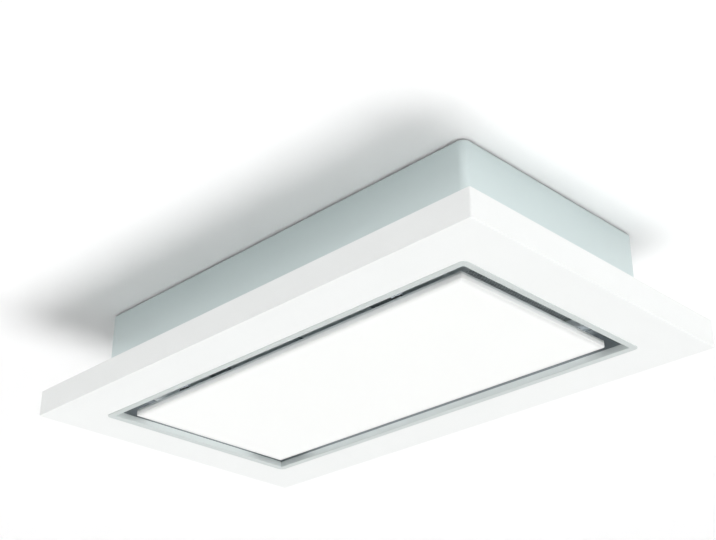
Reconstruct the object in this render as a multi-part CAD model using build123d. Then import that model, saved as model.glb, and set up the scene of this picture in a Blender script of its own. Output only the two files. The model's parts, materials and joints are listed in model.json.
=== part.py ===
"""Ceiling range hood: a lit centre panel and a suction slot in a white frame, under a sheet-metal casing.

Millimetres. The origin is in the ceiling plane, at the middle of the four fixing holes. +Z points up into
the ceiling, X runs along the hood's length, and everything but the duct collar hangs below z = 0.
"""

from build123d import *
import os
from math import asin, cos, degrees, radians, sin

os.makedirs("parts", exist_ok=True)

# ---------------------------------------------------------------- driving dimensions

# overall
TOTAL_HEIGHT = 235.0        # ceiling to the frame's underside
SHEET = 1.5                 # steel sheet of the casing, frame and blower
FIT = 0.3                   # gap between pieces that are pushed together
RUNNING_FIT = 0.05          # radial gap of a shaft or pin in its hole

# wide lower frame
FRAME_LENGTH = 1200.0
FRAME_WIDTH = 700.0
FRAME_HEIGHT = 55.0
FRAME_CORNER = 3.5
FRAME_EDGE = 1.0            # rounding of the underside's outer edge
COVER_LIP = 15.0

# casing above it
CASING_LENGTH = 1020.0
CASING_WIDTH = 500.0
CASING_CORNER = 15.0
CLAMP_INSET = 34.0          # trim ring's outside to the inner edge of the clamped flanges

# ceiling end
SEAL_HEIGHT = 4.0
SEAL_INSET = 8.0
SEAL_WIDTH = 12.0
RAIL_WIDTH = 50.0
RAIL_LENGTH = 440.0
FIXING_SPACING_X = 860.0
FIXING_SPACING_Y = 380.0
FIXING_HOLE_RADIUS = 4.5
TOP_LIP = 15.0

# trim ring and suction slot
RING_WIDTH = 14.5
RING_THICKNESS = 1.0
RING_CORNER = 12.0
RING_LEG_HEIGHT = 13.0
RING_LENGTH = 1000.0
RING_BREADTH = 500.0
SLOT_WIDTH = 31.5
CHANNEL_FOOT = 11.0

# centre panel
PANEL_THICKNESS = 14.0
PANEL_CORNER = 3.0
TRAY_SHEET = 1.2
TRAY_DEPTH = 5.0
DIFFUSER_WALL = 3.0
DIFFUSER_EDGE = 2.0
REFLECTOR_THICKNESS = 0.5
GUIDE_THICKNESS = 4.0
GUIDE_INSET = 8.0
LED_STRIP_WIDTH = 3.0

# hinges, which the panel swings on
HINGE_X = 330.0             # each side of the middle
HINGE_EDGE = 14.0           # pin to the panel's back edge
HINGE_RISE = 16.0           # pin above the panel's back
HINGE_PIN_RADIUS = 3.0
HINGE_PIN_HEAD_RADIUS = 4.8
HINGE_PIN_HEAD_LENGTH = 1.5
HINGE_EYE_RADIUS = 7.0
HINGE_ARM_WIDTH = 6.0
HINGE_ARM_DEPTH = 12.0
HINGE_PLAY = 0.5
HINGE_FOOT_THICKNESS = 2.0
HINGE_FOOT_HALF = 15.0

# magnetic catches
CATCH_X = 300.0
CATCH_WIDTH = 24.0
CATCH_DEPTH = 16.0
STRIKE_THICKNESS = 1.5
MAGNET_THICKNESS = 4.0
CATCH_SHEET = 2.0
CATCH_EDGE = 10.0           # middle of a catch to the panel's front edge

# grease filters
WINDOW_X = 232.0            # middle of each filter window
WINDOW_LENGTH = 420.0
WINDOW_WIDTH = 336.0
FILTER_OVERLAP = 12.0       # filter frame beyond its window on each side
FILTER_THICKNESS = 9.0
FILTER_SIDE_RAIL = 24.0
FILTER_END_RAIL = 36.0
FILTER_STEP = 4.0           # ledge that the mesh lies on
MESH_THICKNESS = 1.5
MESH_BAR = 5.0
MESH_COLUMNS = 14
MESH_ROWS = 8
LATCH_TRAVEL = 8.0
LATCH_REACH = 7.0           # tongue over the window's rim
LATCH_LENGTH = 24.0
LATCH_STEM = 3.0
LATCH_TONGUE = 2.0
GRIP_LENGTH = 60.0
GRIP_WIDTH = 22.0
GRIP_THICKNESS = 3.0
HOOK_X = 120.0

# clamp screws round the casing's foot
SCREW_RADIUS = 2.0
SCREW_HEAD_RADIUS = 4.0
SCREW_HEAD_HEIGHT = 2.5
SCREW_EDGE = 10.0           # from the flange's inner edge
NUT_RADIUS = 4.0
NUT_HEIGHT = 3.2
SCREWS_LONG_SIDE = 5
SCREWS_SHORT_SIDE = 3
SCREW_PITCH_LONG = 200.0
SCREW_PITCH_SHORT = 120.0

# blower
BLOWER_X = -150.0
BLOWER_Y = -17.0
BLOWER_DROP = 19.5          # top plate to the blower's cover
SCROLL_HEIGHT = 110.0
SCROLL_RADIUS = 205.0       # largest of its four arcs
SCROLL_STEP = 17.0          # each arc is this much smaller than the last
TONGUE_ANGLE = 45.0
SCROLL_OUTLET = 170.0       # axis to the outlet's end
SCROLL_FLANGE = 12.0
INLET_RADIUS = 96.0
INLET_FLANGE = 22.0
INLET_DEPTH = 9.0
HANGER_SPACING = 210.0
HANGER_LENGTH = 200.0
HANGER_FLANGE = 18.0

# impeller and motor
IMPELLER_RADIUS = 130.0
IMPELLER_RIM = 3.0
IMPELLER_BOTTOM_GAP = 9.5
IMPELLER_TOP_GAP = 12.0
BLADE_COUNT = 48
BLADE_DEPTH = 23.0
BLADE_THICKNESS = 1.2
BLADE_SWEEP = 4.0           # degrees that a blade leans over its depth
CUP_RADIUS = 62.0
CUP_DEPTH = 53.0
HUB_RADIUS = 14.0
HUB_HEIGHT = 13.5
SHAFT_RADIUS = 5.0
SHAFT_END = 8.0
NUT_SIZE = 9.0
SHAFT_NUT_HEIGHT = 5.5
MOTOR_RADIUS = 55.0
MOTOR_DEPTH = 58.0
MOTOR_FLANGE_RADIUS = 72.0
MOTOR_FLANGE_THICKNESS = 2.0
MOTOR_CAP_RADIUS = 40.0
MOTOR_CAP_HEIGHT = 8.0
MOTOR_HOLE_GAP = 3.0
BUSH_HEIGHT = 3.0
BUSH_RADIUS = 6.0
BUSH_CIRCLE = 65.0
BUSH_COUNT = 3
MOTOR_SCREW_RADIUS = 2.5
MOTOR_SCREW_HEAD_RADIUS = 4.5

# outlet: box, collar and damper
OUTLET_LENGTH = 186.0
OUTLET_MARGIN = 8.0
OUTLET_HEADROOM = 1.5
COLLAR_RADIUS = 75.0        # the duct's inside
COLLAR_STEP = 1.5           # the base is this much wider, and stops the duct
COLLAR_HEIGHT = 55.0        # above the ceiling plane
COLLAR_FLANGE = 10.0
COLLAR_HOLE_GAP = 1.0
DAMPER_RISE = 6.0           # pin above the outlet box
DAMPER_PIN_RADIUS = 2.0
DAMPER_KNUCKLE_RADIUS = 4.0
DAMPER_KNUCKLE_LENGTH = 20.0
DAMPER_KNUCKLE_X = 25.0
DAMPER_SHEET = 1.0
DAMPER_GAP = 1.0
DAMPER_LEDGE = 3.0

# electrics
CONTROL_EDGE = 38.0         # casing wall to the control box
CONTROL_LENGTH = 170.0
CONTROL_WIDTH = 140.0
CONTROL_DEPTH = 60.0
CONTROL_WALL = 2.0
CONTROL_Y = -130.0
BOARD_LENGTH = 140.0
BOARD_WIDTH = 100.0
BOARD_THICKNESS = 1.6
STANDOFF_HEIGHT = 8.0
STANDOFF_RADIUS = 4.0
TERMINAL_LENGTH = 60.0
TERMINAL_WIDTH = 16.0
TERMINAL_HEIGHT = 18.0
TERMINAL_WAYS = 5
TERMINAL_MOUTH = 3.6        # each way's square mouth
CAPACITOR_RADIUS = 14.0
CAPACITOR_LENGTH = 55.0
DRIVER_LENGTH = 160.0
DRIVER_WIDTH = 50.0
DRIVER_HEIGHT = 28.0
DRIVER_Y = 110.0
GLAND_GAP = 50.0            # control box to the cable gland
GLAND_BORE_RADIUS = 5.0
GLAND_BODY_RADIUS = 8.0
GLAND_HEAD_RADIUS = 12.0
GLAND_HEAD_HEIGHT = 3.0
GLAND_TAIL = 18.0
GLAND_NUT_HEIGHT = 4.0
LEAD_RADIUS = 3.0
LEAD_BEND = 30.0
LEAD_FIRST_BEND = 0.55      # shares of the way from the motor's cap to the gland
LEAD_SECOND_BEND = 0.85
SOCKET_LENGTH = 30.0
SOCKET_WIDTH = 20.0
SOCKET_HEIGHT = 10.0
SOCKET_SETBACK = 40.0        # hinge line to the socket

# ---------------------------------------------------------------- levels and half sizes that follow

UNDERSIDE = -TOTAL_HEIGHT
FRAME_TOP = UNDERSIDE + FRAME_HEIGHT
CASING_TOP = -SEAL_HEIGHT
PLATE_UNDER = CASING_TOP - SHEET
GRID_LOW = FRAME_TOP + SHEET
GRID_HIGH = GRID_LOW + SHEET
CHANNEL_HIGH = FRAME_TOP - SHEET
CLAMP_LOW = CHANNEL_HIGH - SHEET

OPENING_X = RING_LENGTH / 2 - RING_WIDTH          # inside of the trim ring
OPENING_Y = RING_BREADTH / 2 - RING_WIDTH
CHANNEL_X = OPENING_X + SHEET + FIT               # inside of the channel wall
CHANNEL_Y = OPENING_Y + SHEET + FIT
MOUTH_X = RING_LENGTH / 2 - CLAMP_INSET           # inside of the clamped flanges
MOUTH_Y = RING_BREADTH / 2 - CLAMP_INSET

PANEL_X = OPENING_X - SLOT_WIDTH
PANEL_Y = OPENING_Y - SLOT_WIDTH
PANEL_BACK = UNDERSIDE + PANEL_THICKNESS
TRAY_FOOT = PANEL_BACK - TRAY_DEPTH
HINGE_Y = PANEL_Y - HINGE_EDGE
HINGE_Z = PANEL_BACK + HINGE_RISE
CATCH_Y = -(PANEL_Y - CATCH_EDGE)
SOCKET_Y = HINGE_Y - SOCKET_SETBACK

FILTER_X = WINDOW_LENGTH / 2 + FILTER_OVERLAP     # half sizes of one filter
FILTER_Y = WINDOW_WIDTH / 2 + FILTER_OVERLAP
FILTER_HIGH = GRID_LOW - FIT
FILTER_LOW = FILTER_HIGH - FILTER_THICKNESS
MESH_LOW = FILTER_LOW + FILTER_STEP

COVER_HIGH = PLATE_UNDER - BLOWER_DROP
COVER_LOW = COVER_HIGH - SHEET
SCROLL_LOW = COVER_HIGH - SCROLL_HEIGHT
SCROLL_FLOOR = SCROLL_LOW + SHEET
OUTLET_X = BLOWER_X + SCROLL_OUTLET
RIM_LOW = SCROLL_FLOOR + IMPELLER_BOTTOM_GAP
RIM_HIGH = RIM_LOW + IMPELLER_RIM
BACKPLATE_HIGH = COVER_LOW - IMPELLER_TOP_GAP
BACKPLATE_LOW = BACKPLATE_HIGH - SHEET
CUP_LOW = BACKPLATE_HIGH - CUP_DEPTH
HUB_LOW = CUP_LOW + SHEET - HUB_HEIGHT
SHAFT_LOW = HUB_LOW - SHAFT_END
MOTOR_FLANGE_LOW = COVER_HIGH + BUSH_HEIGHT
MOTOR_FLANGE_HIGH = MOTOR_FLANGE_LOW + MOTOR_FLANGE_THICKNESS
MOTOR_LOW = COVER_LOW - MOTOR_DEPTH + SHEET

BOX_HIGH = COVER_HIGH + OUTLET_HEADROOM + SHEET
BOX_LOW = SCROLL_LOW - OUTLET_HEADROOM - SHEET
COLLAR_X = OUTLET_X + OUTLET_LENGTH / 2
COLLAR_BASE_RADIUS = COLLAR_RADIUS + COLLAR_STEP
DAMPER_Z = BOX_HIGH + DAMPER_RISE

CONTROL_HIGH_X = CASING_LENGTH / 2 - SHEET - CONTROL_EDGE
CONTROL_LOW_X = CONTROL_HIGH_X - CONTROL_LENGTH
CONTROL_X = (CONTROL_LOW_X + CONTROL_HIGH_X) / 2
BOARD_HIGH = PLATE_UNDER - CONTROL_WALL - STANDOFF_HEIGHT
BOARD_LOW = BOARD_HIGH - BOARD_THICKNESS
GLAND_X = CONTROL_LOW_X - GLAND_GAP


# ---------------------------------------------------------------- shapes used more than once

def block(x, y, z):
    """A box between a low and a high limit along each axis."""
    limits = (x, y, z)
    middle = [(low + high) / 2 for low, high in limits]
    return Pos(*middle) * Box(*[high - low for low, high in limits])


def around(middle, size):
    """The low and high limits of a length that lies evenly round a middle."""
    return (middle - size / 2, middle + size / 2)


def peg(x, y, radius, low, high):
    """An upright round bar."""
    return Pos(x, y, (low + high) / 2) * Cylinder(radius, high - low)


def pipe(x, y, outer, inner, low, high):
    """An upright round tube."""
    return peg(x, y, outer, low, high) - peg(x, y, inner, low, high)


def plate(half_x, half_y, low, high, corner=0.0):
    """A level plate round the middle of the hood."""
    if corner > 0:
        outline = RectangleRounded(2 * half_x, 2 * half_y, corner)
    else:
        outline = Rectangle(2 * half_x, 2 * half_y)
    return Pos(0, 0, low) * extrude(outline, high - low)


def border(half_x, half_y, width, low, high, corner=0.0, inner_corner=0.0):
    """A level plate with a window that leaves an even width all round."""
    return plate(half_x, half_y, low, high, corner) - plate(
        half_x - width, half_y - width, low, high, inner_corner
    )


def bar_along_x(x, y, z, radius):
    """A level round bar between two x limits."""
    return Pos((x[0] + x[1]) / 2, y, z) * Rot(0, 90, 0) * Cylinder(radius, x[1] - x[0])


def hexagon(x, y, radius, low, high):
    """An upright six-sided bar, with its radius to the corners."""
    return Pos(x, y, low) * extrude(RegularPolygon(radius, 6), high - low)


def welded(*sheets):
    """Sheets that meet face to face, each kept as a solid of its own."""
    return Compound([solid for sheet in sheets for solid in sheet.solids()])


def write(name, shape):
    """Keep one named piece, or one group of equal pieces."""
    export_step(shape, f"parts/{name}.step")


# ---------------------------------------------------------------- ceiling end

def fixing_points():
    """Where the four ceiling fixings pass."""
    return [
        (side_x * FIXING_SPACING_X / 2, side_y * FIXING_SPACING_Y / 2)
        for side_x in (-1, 1)
        for side_y in (-1, 1)
    ]


def make_seal():
    half_x = CASING_LENGTH / 2 - SEAL_INSET
    half_y = CASING_WIDTH / 2 - SEAL_INSET
    corner = CASING_CORNER - SEAL_INSET
    return border(half_x, half_y, SEAL_WIDTH, CASING_TOP, 0, corner, corner / 4)


def make_rail(side):
    rail = block(
        around(side * FIXING_SPACING_X / 2, RAIL_WIDTH), around(0, RAIL_LENGTH), (CASING_TOP, 0)
    )
    for x, y in fixing_points():
        rail -= peg(x, y, FIXING_HOLE_RADIUS, CASING_TOP, 0)
    return rail


def make_top_plate():
    half_x = CASING_LENGTH / 2 - SHEET - FIT
    half_y = CASING_WIDTH / 2 - SHEET - FIT
    corner = CASING_CORNER - SHEET - FIT
    top = plate(half_x, half_y, PLATE_UNDER, CASING_TOP, corner)
    lip = border(half_x, half_y, SHEET, CASING_TOP - TOP_LIP, PLATE_UNDER, corner, corner - SHEET)
    for x, y in fixing_points():
        top -= peg(x, y, FIXING_HOLE_RADIUS, PLATE_UNDER, CASING_TOP)
    top -= peg(COLLAR_X, collar_y(), COLLAR_BASE_RADIUS + COLLAR_HOLE_GAP, PLATE_UNDER, CASING_TOP)
    top -= peg(GLAND_X, CONTROL_Y, GLAND_BODY_RADIUS + FIT, PLATE_UNDER, CASING_TOP)
    return welded(top, lip)


# ---------------------------------------------------------------- casing and lower frame

def clamp_points():
    """Where the clamp screws stand, evenly along the four sides."""
    row_y = MOUTH_Y + SCREW_EDGE
    row_x = MOUTH_X + SCREW_EDGE
    points = []
    for number in range(SCREWS_LONG_SIDE):
        x = (number - (SCREWS_LONG_SIDE - 1) / 2) * SCREW_PITCH_LONG
        points += [(x, row_y), (x, -row_y)]
    for number in range(SCREWS_SHORT_SIDE):
        y = (number - (SCREWS_SHORT_SIDE - 1) / 2) * SCREW_PITCH_SHORT
        points += [(row_x, y), (-row_x, y)]
    return points


def drilled(sheet, low, high):
    """A sheet with the clamp screws' holes through it."""
    for x, y in clamp_points():
        sheet -= peg(x, y, SCREW_RADIUS + FIT, low, high)
    return sheet


def make_casing():
    """Four walls with round corners, and a flange inside their foot."""
    half_x = CASING_LENGTH / 2
    half_y = CASING_WIDTH / 2
    inner_corner = CASING_CORNER - SHEET
    walls = border(half_x, half_y, SHEET, FRAME_TOP, CASING_TOP, CASING_CORNER, inner_corner)
    foot = plate(half_x - SHEET, half_y - SHEET, FRAME_TOP, GRID_LOW, inner_corner)
    foot -= plate(MOUTH_X, MOUTH_Y, FRAME_TOP, GRID_LOW)
    return welded(walls, drilled(foot, FRAME_TOP, GRID_LOW))


def make_lower_frame():
    """The white underside with its outer edge rounded, and the four walls that stand on it."""
    half_x = FRAME_LENGTH / 2
    half_y = FRAME_WIDTH / 2
    low = UNDERSIDE + SHEET
    sheet = plate(half_x, half_y, UNDERSIDE, low, FRAME_CORNER)
    sheet = fillet(sheet.edges().group_by(Axis.Z)[0], min(FRAME_EDGE, SHEET * 0.9))
    sheet -= plate(CHANNEL_X, CHANNEL_Y, UNDERSIDE, low)
    inner_corner = FRAME_CORNER / 5
    return welded(sheet, border(half_x, half_y, SHEET, low, FRAME_TOP, FRAME_CORNER, inner_corner))


def make_frame_top_cover():
    half_x = FRAME_LENGTH / 2 - SHEET - FIT
    half_y = FRAME_WIDTH / 2 - SHEET - FIT
    top = plate(half_x, half_y, CHANNEL_HIGH, FRAME_TOP) - plate(
        MOUTH_X, MOUTH_Y, CHANNEL_HIGH, FRAME_TOP
    )
    lip = border(half_x, half_y, SHEET, FRAME_TOP - COVER_LIP, CHANNEL_HIGH)
    return welded(drilled(top, CHANNEL_HIGH, FRAME_TOP), lip)


def make_trim_ring():
    half_x = RING_LENGTH / 2
    half_y = RING_BREADTH / 2
    low = UNDERSIDE - RING_THICKNESS
    face = border(half_x, half_y, RING_WIDTH, low, UNDERSIDE, RING_CORNER)
    leg = border(OPENING_X + SHEET, OPENING_Y + SHEET, SHEET, low, low + RING_LEG_HEIGHT)
    return face + leg


def make_inner_channel():
    """The slot's walls, with a foot on the frame's underside and a rim that is clamped."""
    low = UNDERSIDE + SHEET
    outer_x = CHANNEL_X + SHEET
    outer_y = CHANNEL_Y + SHEET
    walls = border(outer_x, outer_y, SHEET, low + SHEET, CLAMP_LOW)
    foot_x = outer_x + CHANNEL_FOOT
    foot_y = outer_y + CHANNEL_FOOT
    foot = border(foot_x, foot_y, CHANNEL_FOOT + SHEET, low, low + SHEET)
    rim = plate(outer_x, outer_y, CLAMP_LOW, CHANNEL_HIGH) - plate(
        MOUTH_X, MOUTH_Y, CLAMP_LOW, CHANNEL_HIGH
    )
    return welded(foot, walls, drilled(rim, CLAMP_LOW, CHANNEL_HIGH))


def make_clamp_screws():
    screws = Part()
    for x, y in clamp_points():
        head = peg(x, y, SCREW_HEAD_RADIUS, CLAMP_LOW - SCREW_HEAD_HEIGHT, CLAMP_LOW)
        head = fillet(head.edges().group_by(Axis.Z)[0], SCREW_HEAD_HEIGHT / 3)
        screws += head + peg(x, y, SCREW_RADIUS, CLAMP_LOW, GRID_HIGH + NUT_HEIGHT)
    return screws


def make_clamp_nuts():
    nuts = Part()
    for x, y in clamp_points():
        nut = hexagon(x, y, NUT_RADIUS, GRID_HIGH, GRID_HIGH + NUT_HEIGHT)
        nuts += nut - peg(x, y, SCREW_RADIUS + RUNNING_FIT, GRID_HIGH, GRID_HIGH + NUT_HEIGHT)
    return nuts


# ---------------------------------------------------------------- filters

def make_filter_grid():
    half_x = CASING_LENGTH / 2 - SHEET - 2 * FIT
    half_y = CASING_WIDTH / 2 - SHEET - 2 * FIT
    grid = plate(half_x, half_y, GRID_LOW, GRID_HIGH, CASING_CORNER - SHEET)
    for side in (-1, 1):
        grid -= block(
            around(side * WINDOW_X, WINDOW_LENGTH), around(0, WINDOW_WIDTH), (GRID_LOW, GRID_HIGH)
        )
    return drilled(grid, GRID_LOW, GRID_HIGH)


def make_filter_frame(side):
    """One filter's frame: a ledge for the mesh, a slot for the latch, and two hooks at its back."""
    middle = side * WINDOW_X
    inner_x = FILTER_X - FILTER_SIDE_RAIL
    inner_y = FILTER_Y - FILTER_END_RAIL
    frame = block(around(middle, 2 * FILTER_X), around(0, 2 * FILTER_Y), (FILTER_LOW, FILTER_HIGH))
    frame = fillet(frame.edges().filter_by(Axis.Z), FILTER_OVERLAP / 3)
    frame -= block(around(middle, 2 * inner_x), around(0, 2 * inner_y), (FILTER_LOW, FILTER_HIGH))
    frame -= block(
        around(middle, 2 * (inner_x + FILTER_STEP)),
        around(0, 2 * (inner_y + FILTER_STEP)),
        (MESH_LOW, FILTER_HIGH),
    )
    stem = latch_stem_limits()
    frame -= block(
        around(middle, LATCH_LENGTH + 2 * HINGE_PLAY),
        (stem[0] - HINGE_PLAY, stem[1] + LATCH_TRAVEL + HINGE_PLAY),
        (FILTER_LOW, FILTER_HIGH),
    )
    for hook_side in (-1, 1):
        frame += make_hook(middle + hook_side * HOOK_X)
    return frame


def make_hook(x):
    """A hook that stands up through the window and reaches over its back rim."""
    edge = WINDOW_WIDTH / 2
    low = GRID_HIGH + FIT
    stem = block(
        around(x, LATCH_LENGTH), (edge - HINGE_PLAY - LATCH_STEM, edge - HINGE_PLAY), (FILTER_HIGH, low)
    )
    tongue = block(
        around(x, LATCH_LENGTH),
        (edge - HINGE_PLAY - LATCH_STEM, edge + LATCH_REACH),
        (low, low + LATCH_TONGUE),
    )
    return stem + tongue


def latch_stem_limits():
    """The latch's stem at rest stands just inside the window's front edge."""
    low = -WINDOW_WIDTH / 2 + HINGE_PLAY
    return (low, low + LATCH_STEM)


def mesh_half_sizes():
    """The perforated sheet and the pad above it both fit inside the frame's ledge."""
    return (
        FILTER_X - FILTER_SIDE_RAIL + FILTER_STEP - FIT,
        FILTER_Y - FILTER_END_RAIL + FILTER_STEP - FIT,
    )


def make_filter_mesh(side):
    """A perforated sheet that lies on its frame's ledge."""
    half_x, half_y = mesh_half_sizes()
    pitch_x = (2 * half_x - 2 * MESH_BAR) / MESH_COLUMNS
    pitch_y = (2 * half_y - 2 * MESH_BAR) / MESH_ROWS
    holes = GridLocations(pitch_x, pitch_y, MESH_COLUMNS, MESH_ROWS) * Rectangle(
        pitch_x - MESH_BAR, pitch_y - MESH_BAR
    )
    sheet = Rectangle(2 * half_x, 2 * half_y) - holes
    return Pos(side * WINDOW_X, 0, MESH_LOW) * extrude(sheet, MESH_THICKNESS)


def make_filter_pad(side):
    """The layers of fine mesh above the perforated sheet, as one closed pad."""
    half_x, half_y = mesh_half_sizes()
    pad = plate(half_x, half_y, MESH_LOW + MESH_THICKNESS, FILTER_HIGH)
    return Pos(side * WINDOW_X, 0, 0) * pad


def make_filter_latch(side):
    """A finger grip under the filter, with a stem and a tongue over the window's front rim."""
    middle = side * WINDOW_X
    stem = latch_stem_limits()
    grip_high = FILTER_LOW - FIT
    low = GRID_HIGH + FIT
    grip = block(
        around(middle, GRIP_LENGTH),
        (stem[0] - LATCH_REACH, stem[0] - LATCH_REACH + GRIP_WIDTH),
        (grip_high - GRIP_THICKNESS, grip_high),
    )
    grip = fillet(grip.edges().filter_by(Axis.Z), GRIP_THICKNESS)
    latch = grip + block(around(middle, LATCH_LENGTH), stem, (grip_high, low))
    return latch + block(
        around(middle, LATCH_LENGTH),
        (-WINDOW_WIDTH / 2 - LATCH_REACH, stem[1]),
        (low, low + LATCH_TONGUE),
    )


# ---------------------------------------------------------------- centre panel

def make_panel_tray():
    tray = plate(PANEL_X, PANEL_Y, TRAY_FOOT, PANEL_BACK, PANEL_CORNER)
    tray = fillet(tray.edges().group_by(Axis.Z)[-1], TRAY_SHEET * 0.9)
    inner_corner = max(PANEL_CORNER - TRAY_SHEET, TRAY_SHEET / 4)
    return tray - plate(
        PANEL_X - TRAY_SHEET, PANEL_Y - TRAY_SHEET, TRAY_FOOT, PANEL_BACK - TRAY_SHEET, inner_corner
    )


def make_panel_diffuser():
    diffuser = plate(PANEL_X, PANEL_Y, UNDERSIDE, TRAY_FOOT, PANEL_CORNER)
    diffuser = fillet(diffuser.edges().group_by(Axis.Z)[0], min(DIFFUSER_EDGE, DIFFUSER_WALL * 0.9))
    return diffuser - plate(
        PANEL_X - DIFFUSER_WALL, PANEL_Y - DIFFUSER_WALL, UNDERSIDE + DIFFUSER_WALL, TRAY_FOOT
    )


def make_reflector():
    high = PANEL_BACK - TRAY_SHEET
    return plate(
        PANEL_X - TRAY_SHEET - 2 * FIT, PANEL_Y - TRAY_SHEET - 2 * FIT, high - REFLECTOR_THICKNESS, high
    )


def guide_levels():
    high = PANEL_BACK - TRAY_SHEET - REFLECTOR_THICKNESS
    return (high - GUIDE_THICKNESS, high)


def make_light_guide():
    return plate(PANEL_X - GUIDE_INSET, PANEL_Y - GUIDE_INSET, *guide_levels())


def make_led_strips():
    """A strip of light emitters along each long edge of the light guide."""
    near = PANEL_Y - GUIDE_INSET + FIT
    strips = Part()
    for side in (-1, 1):
        strip_y = sorted((side * near, side * (near + LED_STRIP_WIDTH)))
        strips += block(around(0, 2 * (PANEL_X - GUIDE_INSET)), strip_y, guide_levels())
    return strips


def make_light_socket():
    high = PANEL_BACK + SOCKET_HEIGHT
    body = block(around(0, SOCKET_LENGTH), around(SOCKET_Y, SOCKET_WIDTH), (PANEL_BACK, high))
    body = fillet(body.edges().filter_by(Axis.Z), CONTROL_WALL)
    mouth = block(
        around(0, SOCKET_LENGTH / 2),
        (SOCKET_Y, SOCKET_Y + SOCKET_WIDTH / 2),
        around(PANEL_BACK + SOCKET_HEIGHT / 2, SOCKET_HEIGHT / 2),
    )
    return body - mouth


# ---------------------------------------------------------------- hinges and catches

def make_hinge_arm(side):
    """A foot on the panel's back, and an eye that turns on the pin."""
    middle = side * HINGE_X
    width = around(middle, HINGE_ARM_WIDTH)
    arm = bar_along_x(width, HINGE_Y, HINGE_Z, HINGE_EYE_RADIUS)
    arm += block(width, around(HINGE_Y, HINGE_ARM_DEPTH), (PANEL_BACK, HINGE_Z))
    arm += block(
        around(middle, 2 * HINGE_FOOT_HALF),
        (HINGE_Y - 2 * HINGE_EYE_RADIUS, HINGE_Y + HINGE_EYE_RADIUS),
        (PANEL_BACK, PANEL_BACK + HINGE_FOOT_THICKNESS),
    )
    return arm - bar_along_x(width, HINGE_Y, HINGE_Z, HINGE_PIN_RADIUS + RUNNING_FIT)


def ear_limits(middle):
    """The x limits of a hinge bracket's two ears, one each side of the arm."""
    inner = HINGE_ARM_WIDTH / 2 + HINGE_PLAY
    outer = inner + CATCH_SHEET
    return [(middle - outer, middle - inner), (middle + inner, middle + outer)]


def make_hinge_bracket(side):
    """A foot under the filter grid with two ears that hold the pin."""
    middle = side * HINGE_X
    foot_low = GRID_LOW - CATCH_SHEET
    bracket = block(
        around(middle, 2 * HINGE_FOOT_HALF),
        (HINGE_Y - HINGE_EYE_RADIUS, MOUTH_Y - HINGE_EYE_RADIUS),
        (foot_low, GRID_LOW),
    )
    for ear in ear_limits(middle):
        bracket += bar_along_x(ear, HINGE_Y, HINGE_Z, HINGE_EYE_RADIUS)
        bracket += block(ear, around(HINGE_Y, 2 * HINGE_EYE_RADIUS), (HINGE_Z, foot_low))
    reach = (middle - HINGE_FOOT_HALF, middle + HINGE_FOOT_HALF)
    return bracket - bar_along_x(reach, HINGE_Y, HINGE_Z, HINGE_PIN_RADIUS + RUNNING_FIT)


def make_hinge_pins():
    """A pin with a head at each end, outside its bracket's ears."""
    pins = Part()
    for side in (-1, 1):
        left, right = ear_limits(side * HINGE_X)
        low = left[0] - FIT
        high = right[1] + FIT
        pins += bar_along_x((low, high), HINGE_Y, HINGE_Z, HINGE_PIN_RADIUS)
        for ends in ((low - HINGE_PIN_HEAD_LENGTH, low), (high, high + HINGE_PIN_HEAD_LENGTH)):
            pins += bar_along_x(ends, HINGE_Y, HINGE_Z, HINGE_PIN_HEAD_RADIUS)
    return pins


def make_strikes():
    strikes = Part()
    for side in (-1, 1):
        strikes += block(
            around(side * CATCH_X, CATCH_WIDTH),
            around(CATCH_Y, CATCH_DEPTH),
            (PANEL_BACK, PANEL_BACK + STRIKE_THICKNESS),
        )
    return strikes


def magnet_levels():
    low = PANEL_BACK + STRIKE_THICKNESS + FIT
    return (low, low + MAGNET_THICKNESS)


def make_magnets():
    magnets = Part()
    for side in (-1, 1):
        magnets += block(
            around(side * CATCH_X, CATCH_WIDTH), around(CATCH_Y, CATCH_DEPTH), magnet_levels()
        )
    return magnets


def make_catch_brackets():
    """Two Z-shaped brackets that hang from the filter grid and hold the magnets."""
    brackets = Part()
    web_low = CATCH_Y - CATCH_SHEET
    foot_low = -(MOUTH_Y - SCREW_HEAD_RADIUS)
    magnet_high = magnet_levels()[1]
    for side in (-1, 1):
        width = around(side * CATCH_X, CATCH_WIDTH)
        brackets += (
            block(width, (foot_low, CATCH_Y), (GRID_LOW - CATCH_SHEET, GRID_LOW))
            + block(width, (web_low, CATCH_Y), (magnet_high, GRID_LOW))
            + block(width, around(CATCH_Y, CATCH_DEPTH), (magnet_high, magnet_high + CATCH_SHEET))
        )
    return brackets


# ---------------------------------------------------------------- blower

def scroll_arcs():
    """Centre and radius of the scroll's four quarter arcs, from its outlet side round to its tongue."""
    half = SCROLL_STEP / 2
    corners = [(half, half), (-half, half), (-half, -half), (half, -half)]
    return [
        ((BLOWER_X + x, BLOWER_Y + y), SCROLL_RADIUS - number * SCROLL_STEP)
        for number, (x, y) in enumerate(corners)
    ]


def outlet_limits():
    """The y limits of the scroll's outlet, inside its walls."""
    (first, first_radius), *_, (last, last_radius) = scroll_arcs()
    return (last[1] + last_radius * sin(radians(TONGUE_ANGLE)), first[1] + first_radius)


def collar_y():
    """The collar stands over the outlet box, whose far wall clears the scroll's outlet."""
    return outlet_limits()[1] - COLLAR_RADIUS


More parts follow.
